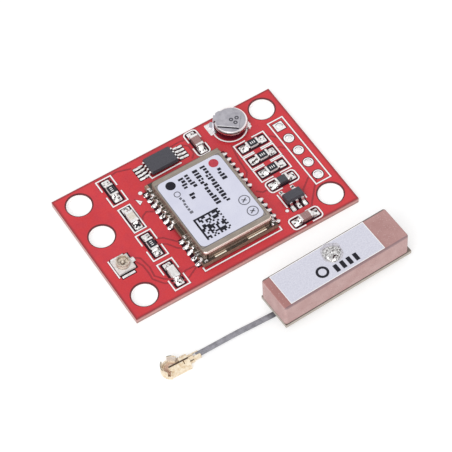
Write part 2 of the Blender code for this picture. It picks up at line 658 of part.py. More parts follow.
def make_antenna():
    """The antenna in its own frame: X along the block, the origin under its middle on z = 0."""
    frame = bpy.data.objects.new("antenna_frame", None)
    place_object(frame, (ANTENNA_FROM_MIDDLE, FRONT - ANTENNA_BEFORE_BOARD, 0), ANTENNA_TURN, None)
    base_bottom = ANTENNA_CAN_HEIGHT + SEAT
    ceramic_bottom = base_bottom + BASE_BOARD_THICKNESS + SEAT
    electrode_bottom = ceramic_bottom + CERAMIC_HEIGHT + SEAT
    head_bottom = electrode_bottom + ELECTRODE_THICKNESS + SEAT
    left = -CERAMIC_LENGTH / 2
    base_length = CERAMIC_LENGTH + BASE_BOARD_PAST_RIGHT
    base_width = CERAMIC_WIDTH + 2 * BASE_BOARD_PAST_SIDE
    base_middle = BASE_BOARD_PAST_RIGHT / 2

    rings = round_topped_rings(CERAMIC_LENGTH, CERAMIC_WIDTH, CERAMIC_HEIGHT, CERAMIC_CORNER, CERAMIC_EDGE)
    ceramic = lofted_piece("antenna_ceramic", rings, CERAMIC_PINK, place=(0, 0, ceramic_bottom),
                           parent=frame, smooth=True)
    bore = bmesh.new()
    feed_pin_bore(bore, -CUT_PAST, CERAMIC_HEIGHT + CUT_PAST)
    combine(ceramic, "ceramic_bore", bore, "DIFFERENCE")

    shape = bmesh.new()
    electrode_left = left + ELECTRODE_BARE_LEFT
    add_block(shape, (electrode_left, -ELECTRODE_WIDTH / 2, 0),
              (electrode_left + ELECTRODE_LENGTH, ELECTRODE_WIDTH / 2, ELECTRODE_THICKNESS))
    electrode = piece("antenna_electrode", shape, SILVER, (0, 0, electrode_bottom), parent=frame)
    bore = bmesh.new()
    feed_pin_bore(bore, -CUT_PAST, ELECTRODE_THICKNESS + CUT_PAST)
    combine(electrode, "electrode_bore", bore, "DIFFERENCE")

    shape = bmesh.new()
    add_block(shape, (left, -base_width / 2, 0),
              (left + base_length, base_width / 2, BASE_BOARD_THICKNESS))
    base = piece("antenna_base_board", shape, LAMINATE, (0, 0, base_bottom), parent=frame)
    bore = bmesh.new()
    feed_pin_bore(bore, -CUT_PAST, BASE_BOARD_THICKNESS + CUT_PAST)
    combine(base, "base_board_bore", bore, "DIFFERENCE")

    shank, head = FEED_PIN_DIAMETER / 2, FEED_HEAD_DIAMETER / 2
    profile = (
        (shank, base_bottom - FEED_PIN_BELOW), (shank, head_bottom), (head, head_bottom),
        (head * 0.95, head_bottom + FEED_HEAD_HEIGHT * 0.45),
        (head * 0.7, head_bottom + FEED_HEAD_HEIGHT * 0.85), (head * 0.3, head_bottom + FEED_HEAD_HEIGHT),
    )
    rings = [circle(radius, level) for radius, level in profile]
    lofted_piece("antenna_feed_pin", rings, TIN, place=(*FEED_PIN_FROM_MIDDLE, 0), parent=frame, smooth=True)

    can_x = base_length / 2 - ANTENNA_CAN_INSET
    can_y = base_width / 2 - ANTENNA_CAN_INSET
    shape = bmesh.new()
    add_block(shape, (-can_x, -can_y, 0), (can_x, can_y, ANTENNA_CAN_HEIGHT))
    can = piece("antenna_shield_can", shape, CAN_METAL, (base_middle, 0, 0), parent=frame)
    hollow = bmesh.new()
    inner_x = can_x - ANTENNA_CAN_SHEET
    inner_y = can_y - ANTENNA_CAN_SHEET
    add_block(hollow, (-inner_x, -inner_y, ANTENNA_CAN_SHEET),
              (inner_x, inner_y, ANTENNA_CAN_HEIGHT + CUT_PAST))
    combine(can, "antenna_can_hollow", hollow, "DIFFERENCE")
    notch = bmesh.new()
    reach = CABLE_DIAMETER / 2 + PLAY
    add_block(notch, (-can_x - CUT_PAST, -reach, CABLE_HEIGHT_AT_CAN - reach),
              (-inner_x + CUT_PAST, reach, ANTENNA_CAN_HEIGHT + CUT_PAST))
    combine(can, "cable_notch", notch, "DIFFERENCE")

    shape = bmesh.new()
    half = AMPLIFIER_SIDE / 2
    add_block(shape, (-half, -half, -AMPLIFIER_HEIGHT), (half, half, 0))
    piece("antenna_amplifier", shape, CHIP_BLACK,
          (left + AMPLIFIER_FROM_LEFT, 0, base_bottom - SEAT), parent=frame)
    cable_end = (base_middle - inner_x + CABLE_INTO_CAN, 0, CABLE_HEIGHT_AT_CAN)
    return Matrix.LocRotScale(frame.location, frame.rotation_euler, None) @ Vector(cable_end)


def make_plug():
    """The plug in its own frame, open side up: the barrel at the origin, the cable leaving along X.

    In front of its seam the body goes on past the barrel's middle as a hood over the open mouth.
    """
    frame = bpy.data.objects.new("plug_frame", None)
    place_object(frame, (*PLUG_PLACE, 0), PLUG_TURN, None)
    barrel = PLUG_BARREL_DIAMETER / 2
    inside = barrel - PLUG_SHEET
    ridge = PLUG_HEIGHT - PLUG_RIDGE_BELOW_RIM
    crimp = CRIMP_DIAMETER / 2
    cable_bore = CABLE_DIAMETER / 2 + PLAY / 2
    crimp_start = PLUG_BODY_LENGTH + NECK_LENGTH
    crimp_end = crimp_start + CRIMP_LENGTH
    seam_front = -PLUG_SEAM_SIDE - PLUG_SEAM
    hood_start = -PLUG_HOOD_PAST_MIDDLE
    cut_top = PLUG_HEIGHT + CUT_PAST
    rings = [circle(barrel, z, HOLE_STEPS) for z in (0, PLUG_HEIGHT)]
    shell = lofted_piece("plug_shell", rings, GOLD, parent=frame, smooth=True)

    room = bmesh.new()
    add_block(room, (hood_start, -barrel - CUT_PAST, -CUT_PAST), (barrel + CUT_PAST, seam_front, cut_top))
    combine(shell, "room_for_hood", room, "DIFFERENCE")
    body = bmesh.new()
    outer_size = (PLUG_BODY_FRONT, PLUG_BODY_BACK, 0, PLUG_WALL_HEIGHT, ridge)
    add_loft(body, [arched(*outer_size, x) for x in (hood_start - PLUG_SHEET, PLUG_BODY_LENGTH)])
    combine(shell, "plug_body", body, "UNION")
    neck = bmesh.new()
    add_block(neck, (PLUG_BODY_LENGTH - PLUG_SHEET, -cable_bore - PLUG_SHEET / 2, 0),
              (crimp_start + PLUG_SHEET, cable_bore + PLUG_SHEET / 2, crimp))
    combine(shell, "plug_neck", neck, "UNION")
    tube = bmesh.new()
    add_lying_cylinder(tube, crimp, crimp_start, crimp_end, crimp)
    combine(shell, "plug_crimp", tube, "UNION")

    mouth = bmesh.new()
    hood_reach = math.sqrt(inside ** 2 - seam_front ** 2)
    levels = []
    for z in (PLUG_SHEET, cut_top):
        ring = [p for p in circle(inside, z, HOLE_STEPS) if p.x < hood_start or p.y > seam_front]
        levels.append(ring + [Vector((hood_start, seam_front, z)), Vector((hood_reach, seam_front, z))])
    add_loft(mouth, levels)
    combine(shell, "plug_mouth", mouth, "DIFFERENCE")
    hollow = bmesh.new()
    inner_size = (PLUG_BODY_FRONT - PLUG_SHEET, PLUG_BODY_BACK - PLUG_SHEET, PLUG_SHEET,
                  PLUG_WALL_HEIGHT, ridge - PLUG_SHEET)
    ends = (hood_start - 2 * PLUG_SHEET, PLUG_BODY_LENGTH - PLUG_SHEET)
    add_loft(hollow, [arched(*inner_size, x) for x in ends])
    combine(shell, "plug_hollow", hollow, "DIFFERENCE")
    seam = bmesh.new()
    add_block(seam, (inside, seam_front, PLUG_HEIGHT / 2),
              (PLUG_BODY_LENGTH + PLUG_SHEET, -PLUG_SEAM_SIDE, cut_top))
    combine(shell, "plug_seam", seam, "DIFFERENCE")
    relief = bmesh.new()
    add_block(relief, (PLUG_RELIEF_FROM_BARREL, seam_front - PLUG_RELIEF_LENGTH, PLUG_HEIGHT / 2),
              (PLUG_RELIEF_FROM_BARREL + PLUG_SEAM, -PLUG_SEAM_SIDE, cut_top))
    combine(shell, "plug_relief", relief, "DIFFERENCE")
    bore = bmesh.new()
    add_lying_cylinder(bore, cable_bore, PLUG_BODY_LENGTH - 2 * PLUG_SHEET, crimp_end + CUT_PAST, crimp)
    combine(shell, "crimp_bore", bore, "DIFFERENCE")
    mouth_of_crimp = bmesh.new()
    add_block(mouth_of_crimp, (crimp_start - PLUG_SHEET, -CRIMP_MOUTH / 2, crimp),
              (crimp_end + CUT_PAST, crimp + CUT_PAST, cut_top))
    combine(shell, "crimp_mouth", mouth_of_crimp, "DIFFERENCE")
    slots = bmesh.new()
    for degrees, width in PLUG_SLOTS:
        turn = Matrix.Rotation(math.radians(degrees), 4, "Z")
        half = width / 2
        low, high = PLUG_HEIGHT * 0.35, PLUG_HEIGHT + CUT_PAST
        ends = (inside - CUT_PAST, barrel + CUT_PAST)
        add_loft(slots, [[turn @ point for point in upright(half, low, high, x)] for x in ends])
    combine(shell, "barrel_slots", slots, "DIFFERENCE")

    floor = PLUG_SHEET + SEAT
    rim, boss = PLUG_BODY_FRONT - PLUG_SHEET - PLAY, INSULATOR_BOSS_DIAMETER / 2
    profile = ((rim, 0), (rim, INSULATOR_HEIGHT / 2), (boss, INSULATOR_HEIGHT / 2), (boss, INSULATOR_HEIGHT))
    rings = [circle(radius, level) for radius, level in profile]
    lofted_piece("plug_insulator", rings, SOCKET_WHITE, place=(0, 0, floor), parent=frame, smooth=True)

    outer = CONTACT_TUBE_DIAMETER / 2
    inner = outer - CONTACT_TUBE_WALL
    profile = ((outer, 0), (outer, CONTACT_TUBE_HEIGHT), (inner, CONTACT_TUBE_HEIGHT), (inner, 0))
    rings = [circle(radius, level, ROUND_STEPS // 2) for radius, level in profile]
    place = (0, 0, floor + INSULATOR_HEIGHT + SEAT)
    lofted_piece("plug_contact", rings, GOLD, looped=True, place=place, parent=frame, smooth=True)
    cable_end = (PLUG_BODY_LENGTH, 0, crimp)
    return Matrix.LocRotScale(frame.location, frame.rotation_euler, None) @ Vector(cable_end)


def smooth_route(points, spacing):
    """Points read from a smooth curve through the given ones."""
    padded = [2 * points[0] - points[1], *points, 2 * points[-1] - points[-2]]
    route = [points[0]]
    for before, start, end, after in zip(padded, padded[1:], padded[2:], padded[3:]):
        steps = max(1, round((end - start).length / spacing))
        for step in range(1, steps + 1):
            t = step / steps
            route.append(0.5 * (
                2 * start + (end - before) * t
                + (2 * before - 5 * start + 4 * end - after) * t ** 2
                + (3 * start - before - 3 * end + after) * t ** 3))
    return route


def make_cable(start, end):
    route = smooth_route([start, *map(Vector, CABLE_ROUTE), end], CABLE_POINT_SPACING)
    curve = bpy.data.curves.new("pigtail_cable", "CURVE")
    curve.dimensions = "3D"
    curve.bevel_depth = CABLE_DIAMETER / 2
    curve.bevel_resolution = 2
    curve.use_fill_caps = True
    line = curve.splines.new("POLY")
    line.points.add(len(route) - 1)
    for point, place in zip(line.points, route):
        point.co = (*place, 1.0)
    curve.materials.append(CABLE_GREY)
    place_object(bpy.data.objects.new("pigtail_cable", curve), (0, 0, 0), 0.0, None)


make_circuit_board()
make_receiver_carrier()
make_receiver_can()
make_receiver_label()
make_chips_under_can()
make_backup_cell()
make_memory_chip()
make_voltage_regulator()
make_chip_parts()
make_coax_socket()
make_cable(make_antenna(), make_plug())
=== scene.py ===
"""A small satellite positioning receiver board with its ceramic block antenna on a short plug-in lead."""

import math
import random

import bmesh
import bpy
from mathutils import Matrix, Vector, noise


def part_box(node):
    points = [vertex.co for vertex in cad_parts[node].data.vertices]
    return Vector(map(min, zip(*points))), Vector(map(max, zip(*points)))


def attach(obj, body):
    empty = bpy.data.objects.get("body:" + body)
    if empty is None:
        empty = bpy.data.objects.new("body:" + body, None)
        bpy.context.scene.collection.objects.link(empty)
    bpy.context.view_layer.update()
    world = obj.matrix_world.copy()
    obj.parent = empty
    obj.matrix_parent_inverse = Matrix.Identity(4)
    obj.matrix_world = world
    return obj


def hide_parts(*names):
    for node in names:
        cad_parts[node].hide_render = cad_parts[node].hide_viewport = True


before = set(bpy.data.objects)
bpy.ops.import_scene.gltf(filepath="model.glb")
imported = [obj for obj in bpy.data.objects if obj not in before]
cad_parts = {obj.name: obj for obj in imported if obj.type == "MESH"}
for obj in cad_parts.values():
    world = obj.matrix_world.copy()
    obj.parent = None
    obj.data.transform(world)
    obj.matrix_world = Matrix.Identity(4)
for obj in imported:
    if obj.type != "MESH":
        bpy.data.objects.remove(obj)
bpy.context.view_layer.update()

MM = 0.001


def corners(node):
    """Lowest and highest corner of a CAD node, in millimetres."""
    low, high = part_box(node)
    return low / MM, high / MM


def middle(node):
    """Middle of a CAD node's box, in millimetres."""
    low, high = corners(node)
    return (low + high) / 2


# Levels and thicknesses, in millimetres
BOARD_TOP = corners("circuit_board")[1].z
CARRIER_TOP = corners("receiver_carrier_board")[1].z
CAN_TOP = corners("receiver_shield_can")[1].z
LABEL_TOP = corners("receiver_label")[1].z
ELECTRODE_TOP = corners("antenna_electrode")[1].z
TRACK_RISE = 0.008
MASK_OPENING_RISE = 0.006
PAD_RISE = 0.020
INK_RISE = 0.012
OPENING_TOP = BOARD_TOP + MASK_OPENING_RISE
PAD_TOP = BOARD_TOP + PAD_RISE
INK_WIDTH = 0.2

# Pitches and places of what repeats, in millimetres
HEADER_PITCH = 2.54
HEADER_X = 15.82
HEADER_HOLE_RADIUS = 0.5
CONTACT_PITCH = 1.1
MEMORY_LEAD_PITCH = 0.65
REGULATOR_LEAD_PITCH = 0.95

# The antenna and the plug lie a little turned on the board's axes
ANTENNA_TURN = math.radians(1.9)
ANTENNA_MIDDLE = Vector((8.17, -21.0))
PLUG_TURN = math.radians(-2.2)
PLUG_MIDDLE = Vector((-18.2, -20.7))


# Node materials

def linear(code):
    """Linear colour from a six-figure colour code."""
    parts = [int(code[i:i + 2], 16) / 255 for i in (0, 2, 4)]
    return tuple(p / 12.92 if p <= 0.04045 else ((p + 0.055) / 1.055) ** 2.4 for p in parts) + (1.0,)


class Graph:
    """A node tree that is built step by step."""

    def __init__(self, tree):
        self.nodes = tree.nodes
        self.links = tree.links

    def node(self, kind, inputs=None, **settings):
        made = self.nodes.new("ShaderNode" + kind)
        for key, value in settings.items():
            setattr(made, key, value)
        for key, value in (inputs or {}).items():
            self.feed(made.inputs[key], value)
        return made

    def feed(self, socket, value):
        if isinstance(value, bpy.types.NodeSocket):
            self.links.new(value, socket)
        else:
            socket.default_value = value

    def math(self, operation, first, second=0.0):
        return self.node("Math", {0: first, 1: second}, operation=operation).outputs[0]

    def seen_directly(self):
        """1 for rays from the camera and from shiny or clear surfaces, 0 for the rest."""
        path = self.node("LightPath")
        total = path.outputs["Is Camera Ray"]
        for kind in ("Is Glossy Ray", "Is Transmission Ray"):
            total = self.math("MAXIMUM", total, path.outputs[kind])
        return total

    def choose(self, others, direct, output):
        """Shows the direct shader to the rays that see it directly and the other one to the rest."""
        choice = self.node("MixShader", {0: self.seen_directly(), 1: others.outputs[0], 2: direct.outputs[0]})
        self.feed(self.nodes[output].inputs["Surface"], choice.outputs[0])


class Surface(Graph):
    """A node material. Sizes are in millimetres."""

    def __init__(self, name, rough, metal=0.0, specular=0.5):
        self.material = bpy.data.materials.new(name)
        self.material.use_nodes = True
        super().__init__(self.material.node_tree)
        self.shader = self.nodes["Principled BSDF"]
        self.shader.inputs["Roughness"].default_value = rough
        self.shader.inputs["Metallic"].default_value = metal
        self.shader.inputs["Specular IOR Level"].default_value = specular
        self.place = self.node("TexCoord").outputs["Object"]
        self.relief = None

    def axis(self, letter):
        """One coordinate of the surface point, in metres."""
        return self.node("SeparateXYZ", {0: self.place}).outputs[letter]

    def along(self, turn):
        """How far the point lies from the origin in a level direction, in metres."""
        inputs = {0: self.place, 1: (math.cos(turn), math.sin(turn), 0)}
        return self.node("VectorMath", inputs, operation="DOT_PRODUCT").outputs["Value"]

    def facing(self, letter):
        """One coordinate of the direction that the surface faces."""
        return self.node("SeparateXYZ", {0: self.node("NewGeometry").outputs["True Normal"]}).outputs[letter]

    def facing_up(self):
        """How far the surface faces up or down, from 0 on a wall to 1 on a level face."""
        return self.math("ABSOLUTE", self.facing("Z"))

    def shelter(self, reach):
        """How closely a point is walled in within that reach, from 0 in the open to 1 in a deep nook."""
        # Ambient occlusion: the finishes darken their colour by this, which paints shade into nooks.
        made = self.node("AmbientOcclusion", {"Distance": reach * MM}, samples=8)
        return self.math("SUBTRACT", 1.0, made.outputs["AO"])

    def stretched(self, stretch):
        return self.node("Mapping", {"Vector": self.place, "Scale": stretch}).outputs[0]

    def noise(self, size, detail=3.0, stretch=(1, 1, 1)):
        inputs = {"Vector": self.stretched(stretch), "Scale": 1 / (size * MM), "Detail": detail,
                  "Roughness": 0.55}
        return self.node("TexNoise", inputs).outputs["Fac"]

    def cells(self, size):
        inputs = {"Vector": self.place, "Scale": 1 / (size * MM)}
        return self.node("TexVoronoi", inputs).outputs["Distance"]

    def ramp(self, source, *stops):
        """Colours between stops of (position, colour code)."""
        made = self.node("ValToRGB", {"Fac": source})
        elements = made.color_ramp.elements
        while len(elements) < len(stops):
            elements.new(1.0)
        for element, (position, code) in zip(elements, stops):
            element.position = position
            element.color = linear(code)
        return made.outputs["Color"]

    def span(self, source, low, high, to_low=0.0, to_high=1.0):
        """The source moved from one range to another, and held at its ends."""
        inputs = {"Value": source, "From Min": low, "From Max": high, "To Min": to_low, "To Max": to_high}
        return self.node("MapRange", inputs).outputs["Result"]

    def mix(self, factor, first, second):
        made = self.node("Mix", data_type="RGBA")
        self.feed(made.inputs[0], factor)
        for socket, value in ((made.inputs[6], first), (made.inputs[7], second)):
            self.feed(socket, linear(value) if isinstance(value, str) else value)
        return made.outputs[2]

    def tint(self, body, source, low, high, share, tone):
        """The body, taken up to that share towards the tone as the source goes from low to high."""
        return self.mix(self.span(source, low, high, 0.0, share), body, tone)

    def colour(self, value):
        self.feed(self.shader.inputs["Base Color"], linear(value) if isinstance(value, str) else value)

    def roughness(self, source, low, high):
        self.feed(self.shader.inputs["Roughness"], self.span(source, 0.3, 0.7, low, high))

    def metal(self, source):
        self.feed(self.shader.inputs["Metallic"], source)

    def bump(self, source, depth):
        """Adds relief of that depth on top of any that is there."""
        inputs = {"Height": source, "Distance": depth * MM, "Strength": 1.0}
        if self.relief:
            inputs["Normal"] = self.relief
        self.relief = self.node("Bump", inputs).outputs[0]
        self.feed(self.shader.inputs["Normal"], self.relief)


def board_finish():
    """Glossy red mask over pink laminate, darker at its edges, with painted shade in nooks and a painted
    shadow by the cell.
    """
    look = Surface("board_finish", rough=0.34)
    high = corners("circuit_board")[1]
    edge_depth = 0.05
    patches = look.noise(6.0, detail=2.0)
    stains = look.noise(1.6, detail=3.0)
    grain = look.noise(0.25, detail=4.0)
    face = look.ramp(patches, (0.3, "ca2730"), (0.7, "d3313a"))
    face = look.tint(face, stains, 0.45, 0.7, 0.35, "b32642")
    face = look.tint(face, grain, 0.35, 0.75, 0.25, "de5056")
    share = look.math("DIVIDE", look.axis("Z"), high.z * MM)
    from_x_end = look.math("SUBTRACT", high.x * MM, look.math("ABSOLUTE", look.axis("X")))
    from_y_end = look.math("SUBTRACT", high.y * MM, look.math("ABSOLUTE", look.axis("Y")))
    from_edge = look.math("MINIMUM", from_x_end, from_y_end)
    outer = look.math("LESS_THAN", from_edge, edge_depth * MM)
    face = look.mix(look.span(from_edge, 0.0, 0.4 * MM, 0.75, 0.0), face, "5f1a20")
    # Painted shade: the mask turns dark maroon in nooks.
    face = look.tint(face, look.shelter(2.0), 0.2, 0.65, 0.85, "4b0d18")
    # Painted shadow: the board is darkened under and around the cell.
    cell = middle("backup_cell")
    along = look.math("SUBTRACT", look.axis("X"), cell.x * MM)
    across = look.math("SUBTRACT", look.axis("Y"), cell.y * MM)
    from_cell = look.node("VectorMath", {0: look.node("CombineXYZ", {0: along, 1: across}).outputs[0]},
                          operation="LENGTH").outputs["Value"]
    face = look.mix(look.span(from_cell, 2.1 * MM, 2.75 * MM, 0.85, 0.0), face, "5a1022")
    fibres = look.noise(1.1, detail=4.0, stretch=(1, 1, 9))
    cut = look.ramp(share, (0.0, "d2aaa5"), (0.1, "a98078"), (0.3, "a98078"), (0.48, "d9a19b"),
                    (0.66, "d28d88"), (0.84, "a9514f"), (0.97, "8a3236"))
    cut = look.tint(cut, fibres, 0.4, 0.75, 0.3, "e2bdb8")
    bore = look.ramp(share, (0.84, "f8f4f3"), (0.9, "6b2026"))
    is_wall = look.math("LESS_THAN", look.facing_up(), 0.5)
    is_bore = look.math("MULTIPLY", is_wall, look.math("SUBTRACT", 1.0, outer))
    look.colour(look.mix(is_wall, face, look.mix(outer, bore, cut)))
    look.metal(look.math("MULTIPLY", is_bore, look.math("LESS_THAN", share, 0.87)))
    look.roughness(grain, 0.28, 0.42)
    look.bump(look.noise(0.6, detail=3.0), 0.004)
    return look.material


def laminate_finish(name, face_dark, face_light, edge_dark, edge_light):
    """Bare or thinly coated laminate, with its glass layers along the cut edges and painted shade in its
    nooks.
    """
    look = Surface(name, rough=0.5)
    weave = look.noise(0.35, detail=4.0)
    fibres = look.noise(0.8, detail=4.0, stretch=(1, 1, 8))
    face = look.ramp(weave, (0.3, face_dark), (0.7, face_light))
    edge = look.ramp(fibres, (0.3, edge_dark), (0.7, edge_light))
    body = look.mix(look.math("GREATER_THAN", look.facing_up(), 0.5), edge, face)
    # Painted shade: near black in nooks.
    look.colour(look.tint(body, look.shelter(0.35), 0.3, 0.7, 0.9, "1d1815"))
    look.roughness(weave, 0.42, 0.6)
    look.bump(weave, 0.006)
    return look.material


def shield_finish():
    """Warm grey tinned sheet, with a painted highlight high on its front wall, painted light and shade in
    bands around its walls and painted shade in its nooks.
    """
    look = Surface("shield_finish", rough=0.34, metal=0.75)
    low, high = corners("receiver_shield_can")
    brushed = look.noise(1.4, detail=5.0, stretch=(1, 7, 1))
    clouds = look.noise(2.6, detail=2.0)
    top = look.ramp(brushed, (0.32, "938980"), (0.68, "a89e94"))
    top = look.tint(top, clouds, 0.4, 0.7, 0.5, "8b8278")
    share = look.span(look.axis("Z"), low.z * MM, high.z * MM)
    # Painted light by height: a pale highlight band low on the walls and a band of shade above it.
    walls = look.ramp(share, (0.0, "c2ab9b"), (0.2, "cdb9aa"), (0.27, "6e6557"), (0.36, "887c6c"),
                      (0.72, "978a7a"), (0.84, "8d8378"), (1.0, "8d8378"))
    # Painted highlight: a pale strip high on the front-facing wall only.
    front = look.math("LESS_THAN", look.facing("Y"), -0.3)
    front_edge_highlight = look.math("MULTIPLY", front, look.span(share, 0.74, 0.84))
    walls = look.mix(front_edge_highlight, walls, "f3dfd6")
    body = look.mix(look.span(look.facing_up(), 0.9, 0.99), walls, top)
    # Painted shade: near black in nooks.
    look.colour(look.tint(body, look.shelter(0.3), 0.42, 0.8, 0.9, "1c1714"))
    look.roughness(brushed, 0.26, 0.44)
    look.bump(brushed, 0.004)
    return look.material


def label_finish():
    """Satin printed label stock, cool white, with a fine fibre."""
    look = Surface("label_finish", rough=0.55, specular=0.3)
    fibre = look.noise(0.18, detail=5.0)
    tone = look.noise(3.5, detail=2.0)
    paper = look.ramp(tone, (0.3, "d5d6e8"), (0.7, "dedfee"))
    look.colour(look.tint(paper, fibre, 0.55, 0.8, 0.2, "c6c6d6"))
    look.roughness(fibre, 0.5, 0.62)
    look.bump(fibre, 0.003)
    return look.material


def cell_finish():
    """Satin steel. The lower wall has a painted reflection of the red board, with bands of painted highlight
    and shade above it and a painted highlight on the rim.
    """
    look = Surface("cell_finish", rough=0.3, metal=1.0)
    low, high = corners("backup_cell")
    patches = look.noise(1.2, detail=4.0)
    top = look.ramp(patches, (0.3, "9d9ba3"), (0.6, "b3b1b8"))
    share = look.span(look.axis("Z"), low.z * MM, high.z * MM)
    # Painted light by height: a dark red reflection of the board low down, a pale highlight band, then a dark
    # band of shade below the rim.
    wall = look.ramp(share, (0.0, "3a0f15"), (0.44, "5e1c23"), (0.5, "d49c9a"), (0.6, "eed6d3"),
                     (0.72, "b08f8e"), (0.8, "6b5a5b"), (0.88, "a9a3a6"), (1.0, "cdc8cb"))
    # Painted highlight: a near-white line on the rounded rim, brightest where it faces right.
    rim = look.math("MULTIPLY", look.span(look.facing_up(), 0.15, 0.4), look.span(share, 0.84, 0.86))
    rim = look.math("MULTIPLY", rim, look.span(look.facing("X"), -0.2, 0.5, 0.25, 1.0))
    wall = look.mix(rim, wall, "fdf4f5")
    look.colour(look.mix(look.span(look.facing_up(), 0.9, 0.99), wall, top))
    look.roughness(patches, 0.22, 0.34)
    look.bump(look.noise(0.7, detail=3.0), 0.004)
    return look.material


def metal_surface(name, dark, light, size, low, high, depth, nook="3a302c", metal=1.0):
    """Bare metal of uneven tone and polish, with painted shade in its nooks. Returns its tone too."""
    look = Surface(name, rough=low, metal=metal)
    patches = look.noise(size, detail=4.0)
    body = look.ramp(patches, (0.3, dark), (0.6, light))
    # Painted shade: the nook tone in nooks.
    body = look.tint(body, look.shelter(0.25), 0.4, 0.8, 0.9, nook)
    look.colour(body)
    look.roughness(patches, low, high)
    look.bump(look.noise(size * 0.6, detail=3.0), depth)
    return look, body


def plug_finish():
    """Pale gold sheet, with a near-white painted highlight on the inner side of the plug's back wall."""
    look, body = metal_surface("plug_finish", *METALS["gold"])
    behind = look.math("GREATER_THAN", look.axis("Y"), middle("plug_contact").y * MM)
    # Painted highlight: near white and less metallic on the back wall's inner side.
    back_wall_highlight = look.math("MULTIPLY", behind, look.math("LESS_THAN", look.facing("Y"), -0.2))
    look.colour(look.mix(look.math("MULTIPLY", back_wall_highlight, 0.9), body, "fffbf6"))
    look.metal(look.span(back_wall_highlight, 0.0, 1.0, 0.55, 0.1))
    return look.material


def solder_finish(name, dull, bright, flux_share, size=0.3):
    """Bright wrinkled solder with dark patches of flux, and painted shade in its hollows and where it meets
    its neighbours.
    """
    look = Surface(name, rough=0.22, metal=1.0)
    patches = look.noise(size, detail=3.0)
    flux = look.noise(size * 1.3, detail=2.5)
    body = look.ramp(patches, (0.32, dull), (0.47, bright), (0.7, "ffffff"))
    body = look.tint(body, flux, 0.52, 0.6, flux_share, "302624")
    # Painted shade: near black in hollows and between neighbours.
    look.colour(look.tint(body, look.shelter(0.3), 0.35, 0.75, 0.95, "241a19"))
    look.roughness(patches, 0.14, 0.36)
    look.bump(patches, size / 6)
    look.bump(look.noise(0.12, detail=2.0), 0.008)
    return look.material


def moulded_package_finish(name, node, half_length, axis):
    """Dark moulding with a sanded grain, and tinned leads beyond its two ends."""
    look = Surface(name, rough=0.55)
    centre = middle(node)
    offset_from_middle = look.math("SUBTRACT", look.axis(axis), getattr(centre, axis.lower()) * MM)
    is_lead = look.math("GREATER_THAN", look.math("ABSOLUTE", offset_from_middle), half_length * MM)
    grain = look.noise(0.09, detail=3.0)
    clouds = look.noise(1.5, detail=2.0)
    body = look.ramp(grain, (0.3, "36363d"), (0.72, "4f4e57"))
    body = look.tint(body, clouds, 0.4, 0.7, 0.35, "44444c")
    lead = look.ramp(look.noise(0.3, detail=3.0), (0.35, "dcdad8"), (0.6, "fbfafa"))
    # Painted shade: the leads turn dark in nooks.
    lead = look.tint(lead, look.shelter(0.2), 0.45, 0.8, 0.9, "2b2322")
    look.colour(look.mix(is_lead, body, lead))
    look.metal(is_lead)
    look.feed(look.shader.inputs["Roughness"], look.span(is_lead, 0.0, 1.0, 0.58, 0.24))
    look.bump(grain, 0.006)
    return look.material


def plain_body_finish(name, dark, light, size, rough, depth=0.006, specular=0.5):
    """A moulded, printed or fired body whose tone varies finely."""
    look = Surface(name, rough=rough, specular=specular)
    grain = look.noise(size, detail=4.0)
    look.colour(look.ramp(grain, (0.3, dark), (0.7, light)))
    look.roughness(grain, rough - 0.08, rough + 0.08)
    look.bump(grain, depth)
    return look.material


def ceramic_finish():
    """Unglazed dusty pink ceramic, speckled, redder at its left end, dark along its back edge, with sides
    painted lighter than its top and painted shade at its foot and front edge.
    """
    look = Surface("ceramic_finish", rough=0.62, specular=0.35)
    clouds = look.noise(2.2, detail=3.0)
    grains = look.cells(0.27)
    dust = look.noise(0.16, detail=3.0)
    # Painted light: the sides are a lighter copy of the top's tone.
    top = look.ramp(clouds, (0.3, "ae8481"), (0.7, "bd9491"))
    side = look.ramp(clouds, (0.3, "c19b98"), (0.7, "cfaeab"))
    body = look.mix(look.span(look.facing_up(), 0.6, 0.95), side, top)
    electrode_end = ANTENNA_MIDDLE.x - 9.69
    redder = look.math("LESS_THAN", look.along(ANTENNA_TURN), electrode_end * MM)
    redder = look.math("MULTIPLY", redder, look.math("GREATER_THAN", look.facing_up(), 0.8))
    body = look.mix(look.math("MULTIPLY", redder, 0.6), body, "a86e6a")
    across = look.along(ANTENNA_TURN + math.pi / 2)
    middle_across = ANTENNA_MIDDLE.y * math.cos(ANTENNA_TURN) - ANTENNA_MIDDLE.x * math.sin(ANTENNA_TURN)
    back_strip = look.math("GREATER_THAN", across, (middle_across + 2.6) * MM)
    back_strip = look.math("MULTIPLY", back_strip, look.math("GREATER_THAN", look.facing_up(), 0.3))
    body = look.mix(look.math("MULTIPLY", back_strip, 0.9), body, "6d6663")
    body = look.tint(body, grains, 0.2, 0.08, 0.6, "efdfdb")
    body = look.tint(body, dust, 0.57, 0.7, 0.35, "8a625f")
    foot, rim = (corner.z for corner in corners("antenna_ceramic"))
    # Painted shade: dark grey along the foot of the ceramic.
    foot_shade = look.span(look.axis("Z"), (foot + 0.05) * MM, (foot + 0.17) * MM, 0.75, 0.0)
    body = look.mix(foot_shade, body, "564a44")
    # Painted shade on the top strip in front of the electrode and the top of the front wall.
    front_strip = look.math("LESS_THAN", across, (middle_across - 2.63) * MM)
    shade = look.span(look.axis("Z"), (rim - 0.35) * MM, (rim - 0.1) * MM, 0.0, 0.7)
    body = look.mix(look.math("MULTIPLY", front_strip, shade), body, "7f6a70")
    look.colour(body)
    look.roughness(dust, 0.55, 0.7)
    look.bump(dust, 0.012)
    return look.material


